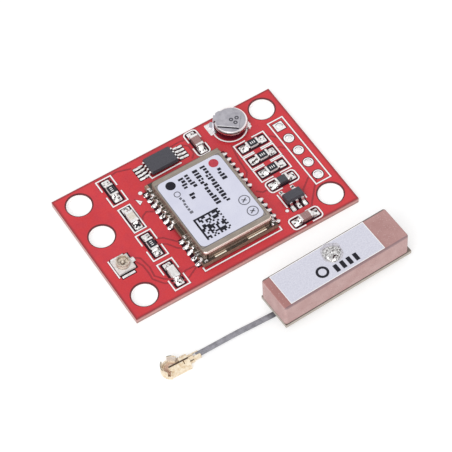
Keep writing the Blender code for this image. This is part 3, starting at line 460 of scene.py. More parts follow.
def cable_finish():
    """Grey sheath over a fine braid that shows through as a faint weave, with a painted shadow beside the
    antenna.
    """
    look = Surface("cable_finish", rough=0.42)
    weave = look.noise(0.13, detail=2.0, stretch=(0.6, 1, 1))
    tone = look.noise(1.0, detail=3.0)
    sheath = look.ramp(tone, (0.3, "7c7b82"), (0.7, "a1a0a8"))
    sheath = look.tint(sheath, weave, 0.35, 0.2, 0.4, "bcbbc2")
    sheath = look.tint(sheath, weave, 0.5, 0.7, 0.5, "5b5a61")
    # Painted shadow: the sheath darkens towards the antenna.
    look.colour(look.mix(look.span(look.axis("X"), -3.5 * MM, -2.3 * MM, 0.0, 0.7), sheath, "3c3a40"))
    look.roughness(weave, 0.34, 0.5)
    look.bump(weave, 0.02)
    return look.material


# Dark and light tone, size of the patches, lowest and highest roughness, relief, tone of the painted shade in
# nooks, metal share
METALS = {
    "tab": ("a2a0a8", "b8b6bd", 0.9, 0.3, 0.42, 0.005),
    "tin": ("cbc8c6", "f8f7f7", 0.3, 0.18, 0.34, 0.02),
    "plating": ("f0eeee", "fdfcfc", 0.8, 0.25, 0.4, 0.003, "e4e0df"),
    "bright_bore": ("fbfafa", "ffffff", 0.8, 0.05, 0.12, 0.001, "fbfafa"),
    "gold": ("dcc19b", "f6e9d2", 0.5, 0.24, 0.4, 0.01, "c8aa92", 0.55),
    "socket_gold": ("a89a8a", "dfd4c8", 0.3, 0.32, 0.5, 0.01, "b39c88"),
    "socket_floor": ("ab9c8b", "e6dacb", 0.25, 0.4, 0.55, 0.01, "bba591", 0.3),
}
# Dark and light tone, size of the grain, roughness, relief, specular level
PLAIN_BODIES = {
    "black_film": ("1e1d24", "303038", 0.15, 0.42, 0.006, 0.3),
    "white_ceramic": ("dcd8d6", "f0eeed", 0.15, 0.5),
    "brown_ceramic": ("8d6a68", "a98886", 0.18, 0.45),
    "dark_ferrite": ("35353b", "4a4a51", 0.12, 0.55),
    "pale_coil": ("d2cdcb", "f4f2f1", 0.3, 0.35),
    "cream_resin": ("d4cbbc", "ebe5da", 0.3, 0.28),
    "insulator": ("d2cdcb", "f2eeec", 0.3, 0.5),
    "warm_insulator": ("c9a690", "ddbfaa", 0.4, 0.4),
    "bare_corner": ("8f6a5a", "c9a28c", 0.25, 0.5),
    "gold_land": ("fbf0d4", "fffaf0", 0.3, 0.3),
    "track": ("921a26", "a92532", 0.5, 0.36),
    "opening_and_shade": ("220a13", "3f1521", 0.5, 0.6, 0.006, 0.15),
    "dark_rim": ("571319", "701d24", 0.4, 0.45),
    "white_ink": ("f8f6f6", "ffffff", 0.35, 0.5),
    "dark_ink": ("17161e", "2b2a33", 0.2, 0.6, 0.006, 0.15),
    "seam": ("33200f", "4d3420", 0.3, 0.5),
    "dark_olive": ("4b4637", "6d6655", 0.3, 0.4),
    "red_ink": ("b02c3c", "c23e4d", 0.3, 0.5),
    "burnt": ("35353c", "504f58", 0.2, 0.45),
    "pale_flux": ("9d99a1", "e4e1ea", 0.22, 0.35, 0.05),
    "grey_ink": ("565660", "73737d", 0.2, 0.5),
    "electrode": ("cdcddb", "e0e0ec", 0.2, 0.45, 0.003, 0.4),
}
FINISH = {
    "board": board_finish(),
    "carrier": laminate_finish("carrier_finish", "2b2520", "4d4337", "6a574a", "a58674"),
    "base_board": laminate_finish("base_board_finish", "6f635b", "857970", "aca297", "c6bdb3"),
    "shield": shield_finish(),
    "label": label_finish(),
    "cell": cell_finish(),
    "solder": solder_finish("solder_finish", "a09a99", "f2f0ef", flux_share=1.0),
    "feed_solder": solder_finish("feed_solder_finish", "6d6a6a", "c9c7c7", size=0.2, flux_share=0.6),
    "plug_sheet": plug_finish(),
    "memory": moulded_package_finish("memory_finish", "memory_chip", half_length=2.21, axis="X"),
    "regulator": moulded_package_finish("regulator_finish", "voltage_regulator", half_length=0.81, axis="Y"),
    "ceramic": ceramic_finish(),
    "cable": cable_finish(),
}
for name, look in METALS.items():
    FINISH[name] = metal_surface(name + "_finish", *look)[0].material
for name, look in PLAIN_BODIES.items():
    FINISH[name] = plain_body_finish(name + "_finish", *look)


# Shapes, in millimetres

# Edges that bend by more than this stay sharp
SHARP_ANGLE = math.radians(40)


def offset(path, distance, closed):
    """Points beside a level path, to its left, with mitred corners."""
    count = len(path)
    moved = []
    for i, point in enumerate(path):
        legs = []
        if closed or i > 0:
            legs.append(point - path[i - 1])
        if closed or i < count - 1:
            legs.append(path[(i + 1) % count] - point)
        sides = [Vector((-leg.y, leg.x)).normalized() for leg in legs]
        mitre = (sides[0] + sides[-1]).normalized()
        moved.append(point + mitre * distance / max(mitre.dot(sides[0]), 0.3))
    return moved


def arc(centre, radius, start, end, steps):
    """Points along a level arc, with its angles in degrees."""
    angles = [math.radians(start + (end - start) * step / steps) for step in range(steps + 1)]
    return [Vector((centre[0] + radius * math.cos(a), centre[1] + radius * math.sin(a))) for a in angles]


def disc(centre, radius, steps=24):
    return arc(centre, radius, 0, 360, steps)[:-1]


def rounded(left, right, front, back, radius, steps=4):
    """A level rectangle with round corners, anticlockwise."""
    places = ((right - radius, back - radius), (left + radius, back - radius),
              (left + radius, front + radius), (right - radius, front + radius))
    outline = []
    for quarter, centre in enumerate(places):
        outline += arc(centre, radius, 90 * quarter, 90 * quarter + 90, steps)
    return outline


def square(left, right, front, back):
    return [Vector(p) for p in ((left, front), (right, front), (right, back), (left, back))]


class Shape:
    """A mesh that is put together from closed solids, each with a finish by number."""

    def __init__(self):
        self.mesh = bmesh.new()
        self.frame = Matrix.Identity(4)

    def at(self, x=0.0, y=0.0, z=0.0, turn=0.0):
        """Sets where the next solids are placed, and how far they are turned, in radians."""
        self.frame = Matrix.Translation((x, y, z)) @ Matrix.Rotation(turn, 4, "Z")
        return self

    def loft(self, rings, finish=0, looped=False):
        """A skin over rings of equal length, with flat ends or joined in a loop."""
        rows = [[self.mesh.verts.new((self.frame @ Vector(p)) * MM) for p in ring] for ring in rings]
        pairs = list(zip(rows, rows[1:]))
        faces = []
        if looped:
            pairs.append((rows[-1], rows[0]))
        else:
            faces = [self.mesh.faces.new(rows[0][::-1]), self.mesh.faces.new(rows[-1])]
        count = len(rows[0])
        for below, above in pairs:
            for i in range(count):
                j = (i + 1) % count
                faces.append(self.mesh.faces.new((below[i], below[j], above[j], above[i])))
        for face in faces:
            face.material_index = finish

    def prism(self, outline, low, high, finish=0, edge=0.0):
        """An upright solid on a level outline, with an optional sloped top edge."""
        levels = [(0.0, low), (0.0, high - edge)]
        if edge:
            levels.append((edge, high))
        rings = []
        for inset, z in levels:
            ring = offset(outline, inset, True) if inset else outline
            rings.append([(p.x, p.y, z) for p in ring])
        self.loft(rings, finish)

    def ring(self, outer, inner, low, high, finish=0):
        """An upright solid between two level outlines of equal length."""
        stack = ((outer, low), (outer, high), (inner, high), (inner, low))
        self.loft([[(p.x, p.y, z) for p in outline] for outline, z in stack], finish, looped=True)

    def stroke(self, path, width, low, high, finish=0, closed=False):
        """A flat band along a level path."""
        path = [Vector(p) for p in path]
        sides = zip(offset(path, width / 2, closed), offset(path, -width / 2, closed))
        sections = [[(a.x, a.y, low), (b.x, b.y, low), (b.x, b.y, high), (a.x, a.y, high)] for a, b in sides]
        self.loft(sections, finish, looped=closed)

    def mound(self, radius_x, radius_y, low, height, seed, wrinkle, finish=0, steps=18):
        """A low dome with an uneven skin."""
        rows = 6
        rings = []
        for row in range(rows + 1):
            lift = row / rows * math.radians(85)
            ring = []
            for step in range(steps):
                angle = 2 * math.pi * step / steps
                spot = Vector((math.cos(angle) * 1.4 + seed * 5.7, math.sin(angle) * 1.4, lift * 1.6))
                bend = 1 + wrinkle * noise.noise(spot) * 2
                reach = math.cos(lift) ** 0.7 * bend
                ring.append((radius_x * reach * math.cos(angle), radius_y * reach * math.sin(angle),
                             low + height * math.sin(lift) * bend))
            rings.append(ring)
        self.loft(rings, finish)

    def fillet(self, start, reach, width, low, height, seed, finish=0):
        """Solder that runs down from an upright metal end at start and out along X to reach."""
        across, along = 8, 7
        sections = []
        for i in range(across + 1):
            side = 2 * i / across - 1
            fullness = 1 - 0.8 * abs(side) ** 3
            outer = start + (reach - start) * (0.6 + 0.4 * fullness)
            y = side * width / 2
            section = [(start, y, low)]
            for j in range(along + 1):
                share = j / along
                x = outer + (start - outer) * share
                rise = 0.12 + 0.88 * share ** 1.7
                bend = 1 + 0.5 * noise.noise(Vector((x * 2.2 + seed * 3.1, y * 2.2, seed * 1.7)))
                section.append((x, y, low + height * fullness * rise * bend * (1 if j else 0.3)))
            section.insert(1, (outer, y, low))
            sections.append(section)
        self.loft(sections, finish)

    def piece(self, name, finishes, slot, replaces=()):
        """Makes the object, which rides on the part's one body."""
        bmesh.ops.recalc_face_normals(self.mesh, faces=self.mesh.faces)
        mesh = bpy.data.meshes.new(name)
        self.mesh.to_mesh(mesh)
        self.mesh.free()
        for finish in finishes:
            mesh.materials.append(FINISH[finish])
        mesh.shade_smooth()
        mesh.set_sharp_from_angle(angle=SHARP_ANGLE)
        thing = bpy.data.objects.new(name, mesh)
        bpy.context.scene.collection.objects.link(thing)
        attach(thing, "root")
        if replaces:
            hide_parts(*replaces)
        return thing


def dress(finish, nodes):
    """Gives CAD nodes a finish."""
    for node in nodes:
        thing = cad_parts[node]
        for place in thing.material_slots:
            place.material = FINISH[finish]


# Printed board: tracks, bare areas, pads and ink

LEFT_CHIPS = ("resistor_1", "status_light", "resistor_2", "feed_inductor")
RIGHT_CHIPS = ("resistor_3", "resistor_4", "resistor_5", "ferrite_bead")
CHIPS_ALONG_Y = LEFT_CHIPS + ("capacitor_1",)
CHIPS_ALONG_X = RIGHT_CHIPS + ("capacitor_2",)
PAD_START = 0.72
PAD_END = 2.08
PAD_HALF_WIDTH = 0.58
MEMORY_LEADS = [(row - 1.5) * MEMORY_LEAD_PITCH for row in range(4)]
REGULATOR_LEADS = {-1: (-REGULATOR_LEAD_PITCH, 0, REGULATOR_LEAD_PITCH),
                   1: (-REGULATOR_LEAD_PITCH, REGULATOR_LEAD_PITCH)}


def chip_place(node):
    """Where a two-ended chip stands: x, y, no height, and the turn that lays its length along the local X."""
    centre = middle(node)
    return centre.x, centre.y, 0, math.pi / 2 if node in CHIPS_ALONG_Y else 0.0


def on_side(side, near, far):
    """A stretch from near to far on the side with that sign, lowest first."""
    return sorted((side * near, side * far))


def make_tracks():
    """Copper tracks under the mask, which show as slightly raised darker lines."""
    top = BOARD_TOP + TRACK_RISE
    tracks = (
        ((-13.2, -2.9), (-12.6, -3.4), (-12.3, -5.4), (-12.5, -7.0), (-11.7, -8.1), (-10.6, -8.9)),
        ((-13.4, -3.6), (-12.95, -4.6), (-12.9, -6.2), (-13.0, -7.3), (-12.0, -8.8), (-10.6, -9.6)),
        ((-9.6, -1.6), (-8.2, -2.2), (-6.6, -4.2)),
        ((-9.5, -2.6), (-8.3, -3.4), (-7.4, -4.8), (-6.6, -5.4)),
        ((-9.5, 1.2), (-8.7, 2.5), (-7.9, 2.9), (-6.6, 2.1)),
        ((-9.6, 10.4), (-8.7, 11.1), (-7.9, 11.2), (-5.8, 10.5)),
        ((-1.9, 10.0), (-1.0, 10.6), (2.4, 10.75), (4.2, 10.4)),
        ((2.2, 10.2), (3.1, 9.4), (3.1, 7.9), (2.4, 7.2)),
        ((-9.9, -9.2), (-8.4, -8.6), (-6.6, -8.7)),
        ((-9.9, -9.9), (-8.7, -9.9), (-6.8, -8.9)),
        ((13.2, 4.6), (14.0, 4.2), (15.0, 2.8)),
        ((13.2, 2.2), (14.0, 1.9), (15.0, 0.4)),
        ((9.0, -3.4), (7.6, -3.4), (6.9, -2.7)),
        ((8.3, 6.1), (7.8, 3.3), (7.6, 0.8), (6.8, -0.2)),
        ((15.4, -4.4), (14.2, -4.9), (12.3, -6.4)),
        ((15.4, -5.4), (14.5, -6.3), (12.5, -8.6), (11.9, -9.3)),
    )
    shape = Shape()
    for path in tracks:
        shape.stroke(path, 0.26, BOARD_TOP, top)
    shape.piece("board_tracks", ["track"], "solder_mask_red")


def make_mask_openings():
    """Dark bare areas around the soldered chips."""
    shape = Shape()
    for node in CHIPS_ALONG_X + CHIPS_ALONG_Y:
        reach, half_width = (2.2, 0.86) if "capacitor" in node or "bead" in node else (2.28, 0.92)
        shape.at(*chip_place(node))
        shape.prism(rounded(-reach, reach, -half_width, half_width, 0.25), BOARD_TOP, OPENING_TOP)
    shape.piece("board_mask_openings", ["opening_and_shade"], "laminate_olive")


def make_pads():
    """Tinned pads under the chips, the leads and the cell's feet, with painted shade on the board around the
    leads.
    """
    shape = Shape()
    for node in CHIPS_ALONG_X + CHIPS_ALONG_Y:
        shape.at(*chip_place(node))
        for side in (-1, 1):
            ends = on_side(side, PAD_START, PAD_END)
            shape.prism(rounded(*ends, -PAD_HALF_WIDTH, PAD_HALF_WIDTH, 0.12), BOARD_TOP, PAD_TOP)
    memory = middle("memory_chip")
    shape.at(memory.x, memory.y)
    for side in (-1, 1):
        # Painted shade: a near-black patch on the board around each row of leads.
        shape.prism(rounded(*on_side(side, 2.4, 4.12), -1.3, 1.25, 0.1), BOARD_TOP, OPENING_TOP, 1)
        for y in MEMORY_LEADS:
            shape.prism(rounded(*on_side(side, 2.75, 4.05), y - 0.19, y + 0.19, 0.1), BOARD_TOP, PAD_TOP)
    regulator = middle("voltage_regulator")
    shape.at(regulator.x, regulator.y)
    # Painted shade: a near-black patch on the board around the front row of leads.
    shape.prism(rounded(-1.4, 1.4, -2.06, 0.0, 0.1), BOARD_TOP, OPENING_TOP, 1)
    for side, columns in REGULATOR_LEADS.items():
        for x in columns:
            shape.prism(rounded(x - 0.28, x + 0.28, *on_side(side, 1.0, 2.0), 0.12), BOARD_TOP, PAD_TOP)
    shape.at()
    shape.prism(rounded(6.75, 7.85, 9.1, 11.2, 0.15), BOARD_TOP, PAD_TOP)
    shape.prism(rounded(11.3, 12.55, 7.25, 9.3, 0.15), BOARD_TOP, PAD_TOP)
    shape.piece("board_pads", ["tin", "opening_and_shade"], "tinned_metal")


def mount_hole_places():
    """Middles of the four corner holes and of the fifth one, between the left two."""
    low, high = corners("circuit_board")
    left, right = low.x + 3.0, high.x - 2.85
    back, front, between = high.y - 2.65, low.y + 2.85, high.y - 9.02
    return (left, back), (left, between), (left, front), (right, back), (right, front)


def make_hole_rims():
    """The dark line that the mask leaves around each mounting hole."""
    shape = Shape()
    for place in mount_hole_places():
        shape.at(*place)
        shape.ring(disc((0.04, 0.07), 2.06, 64), disc((-0.02, -0.03), 1.84, 64), BOARD_TOP,
                   BOARD_TOP + TRACK_RISE)
    shape.piece("mounting_hole_rims", ["dark_rim"], "solder_mask_red")


def header_places():
    return [(HEADER_X, (2 - i) * HEADER_PITCH) for i in range(5)]


def make_header_pads():
    """Plated holes for a pin header, each in a dark rim. The first has a square pad."""
    shape = Shape()
    steps = 32
    low, top = BOARD_TOP, PAD_TOP
    for i, place in enumerate(header_places()):
        shape.at(*place)
        hole = disc((0, 0), HEADER_HOLE_RADIUS, steps)
        pad = disc((0, 0), 0.75, steps)
        if i == 0:
            pad = [point * (0.72 / max(abs(point.x), abs(point.y))) for point in pad]
        shape.ring([point * 1.2 for point in pad], pad, low, low + TRACK_RISE, 1)
        shape.ring(pad, hole, low, top)
        shape.stroke(arc((0, 0), 0.54, -15, 135, steps), 0.09, top, top + 0.006, 2)
        shape.ring(disc((0, 0), 0.485, steps), disc((0, 0), 0.45, steps), 0.01, top, 3)
    shape.piece("header_pads", ["plating", "dark_rim", "grey_ink", "bright_bore"], "tinned_metal")


def bracket(shape, node, reach, half_width, gap, corner, width, low, high):
    """Two facing brackets of ink around a two-ended chip, open in the middle of its long sides."""
    shape.at(*chip_place(node))
    for side in (-1, 1):
        path = [Vector((side * gap / 2, half_width))]
        if corner:
            bend = arc((reach - corner, half_width - corner), corner, 90, 0, 5)
            path += [Vector((side * p.x, p.y)) for p in bend]
            path += [Vector((side * p.x, -p.y)) for p in reversed(bend)]
        else:
            path += [Vector((side * reach, half_width)), Vector((side * reach, -half_width))]
        path.append(Vector((side * gap / 2, -half_width)))
        shape.stroke(path, width, low, high)


def draw_ink(shape, spread, high):
    """Every line and spot of ink on the board, widened by the spread on each side."""
    low = BOARD_TOP
    width = INK_WIDTH + 2 * spread
    for node in ("resistor_1", "resistor_2", "feed_inductor"):
        bracket(shape, node, 2.48, 1.2, 1.1, 0, width, low, high)
    for node in ("resistor_3", "resistor_4", "resistor_5"):
        bracket(shape, node, 2.48, 1.17, 1.1, 0, width, low, high)
    for node, reach in (("ferrite_bead", 2.42), ("capacitor_1", 2.33), ("capacitor_2", 2.42)):
        bracket(shape, node, reach, 1.02, 1.1, 0.55, width, low, high)
    shape.at()
    light, cell = middle("status_light"), middle("backup_cell")
    loops = (square(light.x - 0.95, light.x + 0.95, light.y - 2.3, light.y + 2.3),
             square(14.64, 17.1, -6.4, 6.35), ((-7.98, 5.2), (-7.56, 4.75), (-7.92, 4.5)))
    for loop in loops:
        shape.stroke(loop, width, low, high, closed=True)
    lines = (((-6.2, -9.55), (-6.2, -10.25), (6.35, -10.25), (6.35, -9.55)),
             ((-4.3, 8.1), (-4.2, 7.38), (0.75, 7.45)),
             arc((cell.x - 0.24, cell.y), 2.5, 172, 320, 26),
             ((-16.7, -1.4), (-16.7, -4.7)), ((9.0, -4.9), (9.0, -7.6)), ((12.25, -6.0), (12.25, -7.6)))
    for line in lines:
        shape.stroke(line, width, low, high)
    for place, radius in (((-6.95, 6.1), 0.3), ((8.7, -8.0), 0.26)):
        shape.prism(disc(place, radius + spread, 16), low, high)


def make_silkscreen():
    """White ink around the parts, and the darker line of mask that follows its edges."""
    shape = Shape()
    draw_ink(shape, 0.0, BOARD_TOP + INK_RISE)
    shape.piece("board_ink", ["white_ink"], "insulator_white")
    shape = Shape()
    draw_ink(shape, 0.1, BOARD_TOP + MASK_OPENING_RISE / 2)
    shape.piece("board_ink_edges", ["track"], "solder_mask_red")


# Small chips: each has a body and two metal ends, and solder that climbs them

# Finish of the body, finish of its film or cap, and material slot
CHIP_LOOKS = {
    "resistor": ("white_ceramic", "black_film", "chip_black"),
    "capacitor": ("brown_ceramic", None, "capacitor_brown"),
    "ferrite_bead": ("dark_ferrite", None, "chip_black"),
    "feed_inductor": ("pale_coil", None, "inductor_pale"),
    "status_light": ("white_ceramic", "cream_resin", "light_cream"),
}
CHIP_METAL_END = 0.36


def make_small_chip(node):
    body, film, slot = next(look for kind, look in CHIP_LOOKS.items() if node.startswith(kind))
    low, high = corners(node)
    half_length = max(high.x - low.x, high.y - low.y) / 2
    half_width = min(high.x - low.x, high.y - low.y) / 2
    inner = half_length - CHIP_METAL_END
    body_top = high.z - (0.07 if film else 0.035)
    shape = Shape().at(*chip_place(node))
    side = half_width - 0.03
    shape.prism(rounded(-inner - 0.04, inner + 0.04, -side, side, 0.04, 2), low.z + 0.02, body_top, 0, 0.04)
    for sign in (-1, 1):
        ends = on_side(sign, inner, half_length)
        end_top = high.z - (0.03 if film == "cream_resin" else 0)
        shape.prism(rounded(*ends, -half_width, half_width, 0.06, 3), low.z, end_top, 1, 0.05)
    finishes = [body, "tin"]
    if film:
        finishes.append(film)
        reach = inner + 0.04 if film == "black_film" else inner - 0.1
        half = half_width - (0.06 if film == "black_film" else 0.1)
        shape.prism(rounded(-reach, reach, -half, half, 0.08, 3), body_top - 0.03, high.z - 0.005, 2, 0.03)
    shape.piece(node + "_body", finishes, slot, replaces=[node])


def make_chip_solder():
    shape = Shape()
    for seed, node in enumerate(CHIPS_ALONG_X + CHIPS_ALONG_Y):
        height = (corners(node)[1].z - BOARD_TOP) * 0.72
        x, y, z, turn = chip_place(node)
        for sign in (0, 1):
            shape.at(x, y, z, turn + sign * math.pi)
            shape.fillet(0.97, PAD_END - 0.04, 1.06, PAD_TOP, height, seed * 2 + sign)
    shape.piece("chip_solder", ["solder"], "tinned_metal")


def make_chip_marks():
    """Short pale bars on the resistors and a dark cross at the light's lower end."""
    shape = Shape()
    for node in ("resistor_1", "resistor_2", "resistor_3", "resistor_4", "resistor_5"):
        top = corners(node)[1].z
        shape.at(*chip_place(node))
        for step in (-1, 0, 1):
            shape.prism(square(step * 0.3 - 0.06, step * 0.3 + 0.06, -0.2, 0.2), top - 0.02, top)
    shape.piece("resistor_marks", ["white_ink"], "insulator_white")
    shape = Shape().at(*chip_place("status_light"))
    for half in (0.36, -0.36):
        shape.stroke(((-1.78, -half), (-1.24, half)), 0.2, BOARD_TOP, BOARD_TOP + 0.34)
    shape.piece("light_mark", ["dark_ink"], "chip_black")


def make_lead_solder():
    """Solder at the tips of the packages' leads."""
    rows = [("memory_chip", turn, MEMORY_LEADS, (3.1, 3.95, 0.36), 1) for turn in (0, math.pi)]
    rows += [("voltage_regulator", side * math.pi / 2, REGULATOR_LEADS[side], (1.42, 1.95, 0.5), 0)
             for side in (1, -1)]
    shape = Shape()
    seed = 0
    for node, turn, leads, (start, reach, width), finish in rows:
        centre = middle(node)
        for lead in leads:
            seed += 1
            shape.at(centre.x, centre.y, 0, turn)
            shape.frame = shape.frame @ Matrix.Translation((0, lead, 0))
            shape.fillet(start, reach, width, PAD_TOP, 0.16, seed, finish)
    shape.piece("lead_solder", ["solder", "tin"], "tinned_metal")


# Receiver module

def contact_places():
    low, high = corners("receiver_carrier_board")
    rows = [low.y + 1.0 + CONTACT_PITCH * i for i in range(5)]
    rows += [high.y - 1.0 - CONTACT_PITCH * i for i in range(7)]
    return [(side, y) for side in (-1, 1) for y in rows]


def make_module_contacts():
    """Half-round edge contacts: a small plate on top of the carrier and solder that climbs to each."""
    low, high = corners("receiver_carrier_board")
    half_width = (high.x - low.x) / 2
    plates, solder, bare = Shape(), Shape(), Shape()
    for seed, (side, y) in enumerate(contact_places()):
        turn = 0 if side > 0 else math.pi
        plates.at(0, y, 0, turn)
        notch = arc((half_width, 0), 0.25, 270, 90, 8)
        finish, reach, height = (0, 0.8, 0.2) if side < 0 else (1, 0.95, 0.32)
        plate = square(half_width - 0.47, half_width, -0.34, 0.34)
        plates.prism(plate[:2] + notch + plate[2:], CARRIER_TOP, CARRIER_TOP + 0.025, finish)
        plates.at((half_width - 0.22) * side, y)
        plates.mound(0.2, 0.2, CARRIER_TOP, height, seed + 60, 0.25, finish)
        solder.at(0, y, 0, turn)
        solder.fillet(half_width - 0.28, half_width + reach, 0.68, BOARD_TOP, 0.8, seed, finish)
        bare.at(0, y, 0, turn)
        bare.prism(square(half_width - 0.1, half_width + 0.68, -0.55, 0.55), BOARD_TOP, OPENING_TOP)
    plates.piece("module_contacts", ["solder", "tin"], "tinned_metal")
    solder.piece("module_solder", ["solder", "tin"], "tinned_metal")
    bare.piece("module_bare_board", ["opening_and_shade"], "laminate_olive")


def make_module_strip():
    """Gold lands in front of the shield can, solder at the front corners and bare back corners."""
    shape = Shape()
    low, high = corners("receiver_carrier_board")
    for left, right in ((low.x + 0.02, low.x + 0.48), (high.x - 0.48, high.x - 0.02)):
        outline = rounded(left, right, high.y - 0.68, high.y - 0.02, 0.08)
        shape.prism(outline, CARRIER_TOP, CARRIER_TOP + MASK_OPENING_RISE)
    shape.piece("module_back_corners", ["bare_corner"], "laminate_olive")
    shape = Shape()
    y = low.y + 0.24
    for left, right in ((-4.1, -2.25), (1.35, 4.35)):
        shape.stroke(((left, y), (right, y)), 0.2, CARRIER_TOP, CARRIER_TOP + PAD_RISE)
    shape.piece("module_front_lands", ["gold_land"], "contact_gold")
    shape = Shape()
    for seed, x in enumerate((-5.45, 5.45)):
        shape.at(x, low.y + 0.3)
        shape.mound(0.28, 0.2, CARRIER_TOP, 0.26, seed + 40, 0.2)
    shape.piece("module_corner_solder", ["solder"], "tinned_metal")


def make_can_skirt():
    """The can's lower frame, four strips that stand proud of its walls, and the line around its label."""
    low, high = corners("receiver_shield_can")
    proud, inside, corner = 0.05, 0.02, 0.8
    bottom, top = low.z, low.z + 0.36
    shape = Shape()
    for left, right in ((low.x - proud, low.x + inside), (high.x - inside, high.x + proud)):
        shape.prism(square(left, right, low.y + corner, high.y - corner), bottom, top)
    for front, back in ((low.y - proud, low.y + inside), (high.y - inside, high.y + proud)):
        shape.prism(square(low.x + corner, high.x - corner, front, back), bottom, top)
    shape.piece("receiver_can_skirt", ["shield"], "shield_metal")
    low, high = corners("receiver_label")
    edge = 0.07
    shape = Shape()
    shape.ring(square(low.x - edge, high.x + edge, low.y - edge, high.y + edge),
               square(low.x, high.x, low.y, high.y), CAN_TOP, CAN_TOP + PAD_RISE)
    shape.piece("label_shadow_line", ["grey_ink"], "chip_black")


def print_row(shape, x, start, end, height, seed):
    """A row of small marks that runs towards the front, in the place of a line of print."""
    draw = random.Random(seed)
    low, high = LABEL_TOP, LABEL_TOP + INK_RISE
    y = start
    while y > end + 0.2:
        width = draw.uniform(0.32, 0.46)
        parts = draw.choice(((-0.5, 0.5), (-0.5, -0.08, 0.1, 0.5), (-0.5, 0.5), (-0.2, 0.5), (-0.5, 0.2)))
        for near, far in zip(parts[::2], parts[1::2]):
            shape.prism(square(x + near * height, x + far * height, y - width, y), low, high)
        y -= width + 0.17


def make_label_print():
    """Generic print on the label: rows of marks, two spots, three rings and a code that says nothing."""
    shape = Shape()
    low, top = LABEL_TOP, LABEL_TOP + INK_RISE
    rows = ((3.6, 2.1, -0.3, 0.76), (1.9, 3.65, -3.5, 0.8), (0.62, 3.66, -3.2, 0.8),
            (-0.68, 3.65, 1.2, 0.8), (-1.75, 3.55, 1.3, 0.8), (-1.75, 0.5, -0.65, 0.8))
    for seed, (x, start, end, height) in enumerate(rows):
        print_row(shape, x, start, end, height, seed)
    shape.prism(disc((-3.52, 3.18), 0.74, 28), low, top)
    count, code_width = 14, 4.0
    cell = code_width / count
    left, back = -4.0, -3.55
    draw = random.Random(5)
    for column in range(count):
        for row in range(count):
            solid = column == 0 or row == 0
            dashed = (column == count - 1 or row == count - 1) and (column + row) % 2
            inside = 0 < column < count - 1 and 0 < row < count - 1 and draw.random() < 0.5
            if solid or dashed or inside:
                x, y = left + column * cell, back - row * cell
                shape.prism(square(x, x + cell, y - cell, y), low, top)
    shape.piece("label_print", ["dark_ink"], "chip_black")
    shape = Shape()
    for y in (-4.6, -6.8):
        shape.stroke(disc((3.82, y), 0.78), 0.14, low, top, closed=True)
        shape.stroke(((3.42, y - 0.25), (4.2, y + 0.25)), 0.2, low, top)
        shape.stroke(((3.5, y + 0.25), (4.1, y - 0.2)), 0.14, low, top)
    shape.stroke(disc((-3.5, 1.42), 0.44), 0.13, low, top, closed=True)
    print_row(shape, -3.4, 0.75, -2.6, 0.5, 11)
    shape.piece("label_fine_print", ["grey_ink"], "chip_black")
    shape = Shape()
    shape.prism(disc((3.6, 3.2), 0.72, 28), low, top)
    shape.piece("label_red_spot", ["red_ink"], "solder_mask_red")


# Cell, socket, antenna and plug

def make_cell_details():
    """Weld spots on the cell's top tab, and a painted shadow under a painted highlight along the tab's front
    edge.
    """
    top = corners("backup_cell_top_tab")[1].z
    shape = Shape()
    for x, y in ((10.02, 8.77), (10.86, 8.61), (10.27, 7.98)):
        shape.ring(disc((x, y), 0.32, 24), disc((x, y), 0.13, 24), top - 0.03, top + 0.012)
    shape.piece("cell_weld_spots", ["burnt"], "cell_steel")
    cell_top = corners("backup_cell")[1].z
    # Painted shadow: a dark strip on the cell beside the tab's edge. Painted highlight: a bright strip along
    # that edge.
    gap, highlight_strip = Shape(), Shape()
    start, end = Vector((7.72, 8.82)), Vector((10.13, 6.87))
    side = Vector((start.y - end.y, end.x - start.x)).normalized()
    gap.stroke((start, end), 0.16, cell_top, cell_top + INK_RISE)
    highlight_strip.stroke((start + side * 0.13, end + side * 0.13), 0.06, cell_top, top + MASK_OPENING_RISE)
    gap.piece("cell_tab_edge_shadow", ["dark_ink"], "chip_black")
    highlight_strip.piece("cell_tab_edge_highlight", ["plating"], "tinned_metal")


def make_socket_details():
    """The socket's floor and terminals, and the dark bare board around it."""
    base_low, base_high = corners("coax_socket_base")
    ring_low = corners("coax_socket_ring")[0]
    x, y = middle("coax_socket_base")[:2]
    half = (base_high.x - base_low.x) / 2
    floor = Shape().at(x, y)
    floor.ring(disc((0, 0), 0.8), disc((0, 0), 0.4), ring_low.z, ring_low.z + 0.34)
    for angle in (20, 140, 260):
        direction = math.radians(angle)
        floor.at(x + 0.54 * math.cos(direction), y + 0.54 * math.sin(direction), 0, direction)
        floor.prism(square(-0.12, 0.12, -0.035, 0.035), ring_low.z + 0.3, ring_low.z + 0.35, 1)
    floor.piece("socket_floor", ["socket_floor", "opening_and_shade"], "contact_gold")
    bare = Shape().at(x, y)
    near, far = half + 0.12, half + 0.3
    bare.prism(square(-near, far, -near, far), BOARD_TOP, OPENING_TOP)
    bare.prism(square(-1.25, 1.05, -half - 0.76, half + 0.5), BOARD_TOP, OPENING_TOP)
    bare.piece("socket_bare_board", ["opening_and_shade"], "laminate_olive")
    bars = Shape().at(x, y)
    for front, back in ((-half - 0.68, -half - 0.3), (half + 0.05, half + 0.4)):
        bars.prism(rounded(-1.15, 0.9, front, back, 0.08), BOARD_TOP, BOARD_TOP + 0.16, 0, 0.04)
    bars.prism(rounded(half - 0.2, half + 0.55, -0.4, 0.4, 0.08), BOARD_TOP, base_high.z - 0.1, 0, 0.04)
    bars.piece("socket_terminals", ["tin"], "tinned_metal")


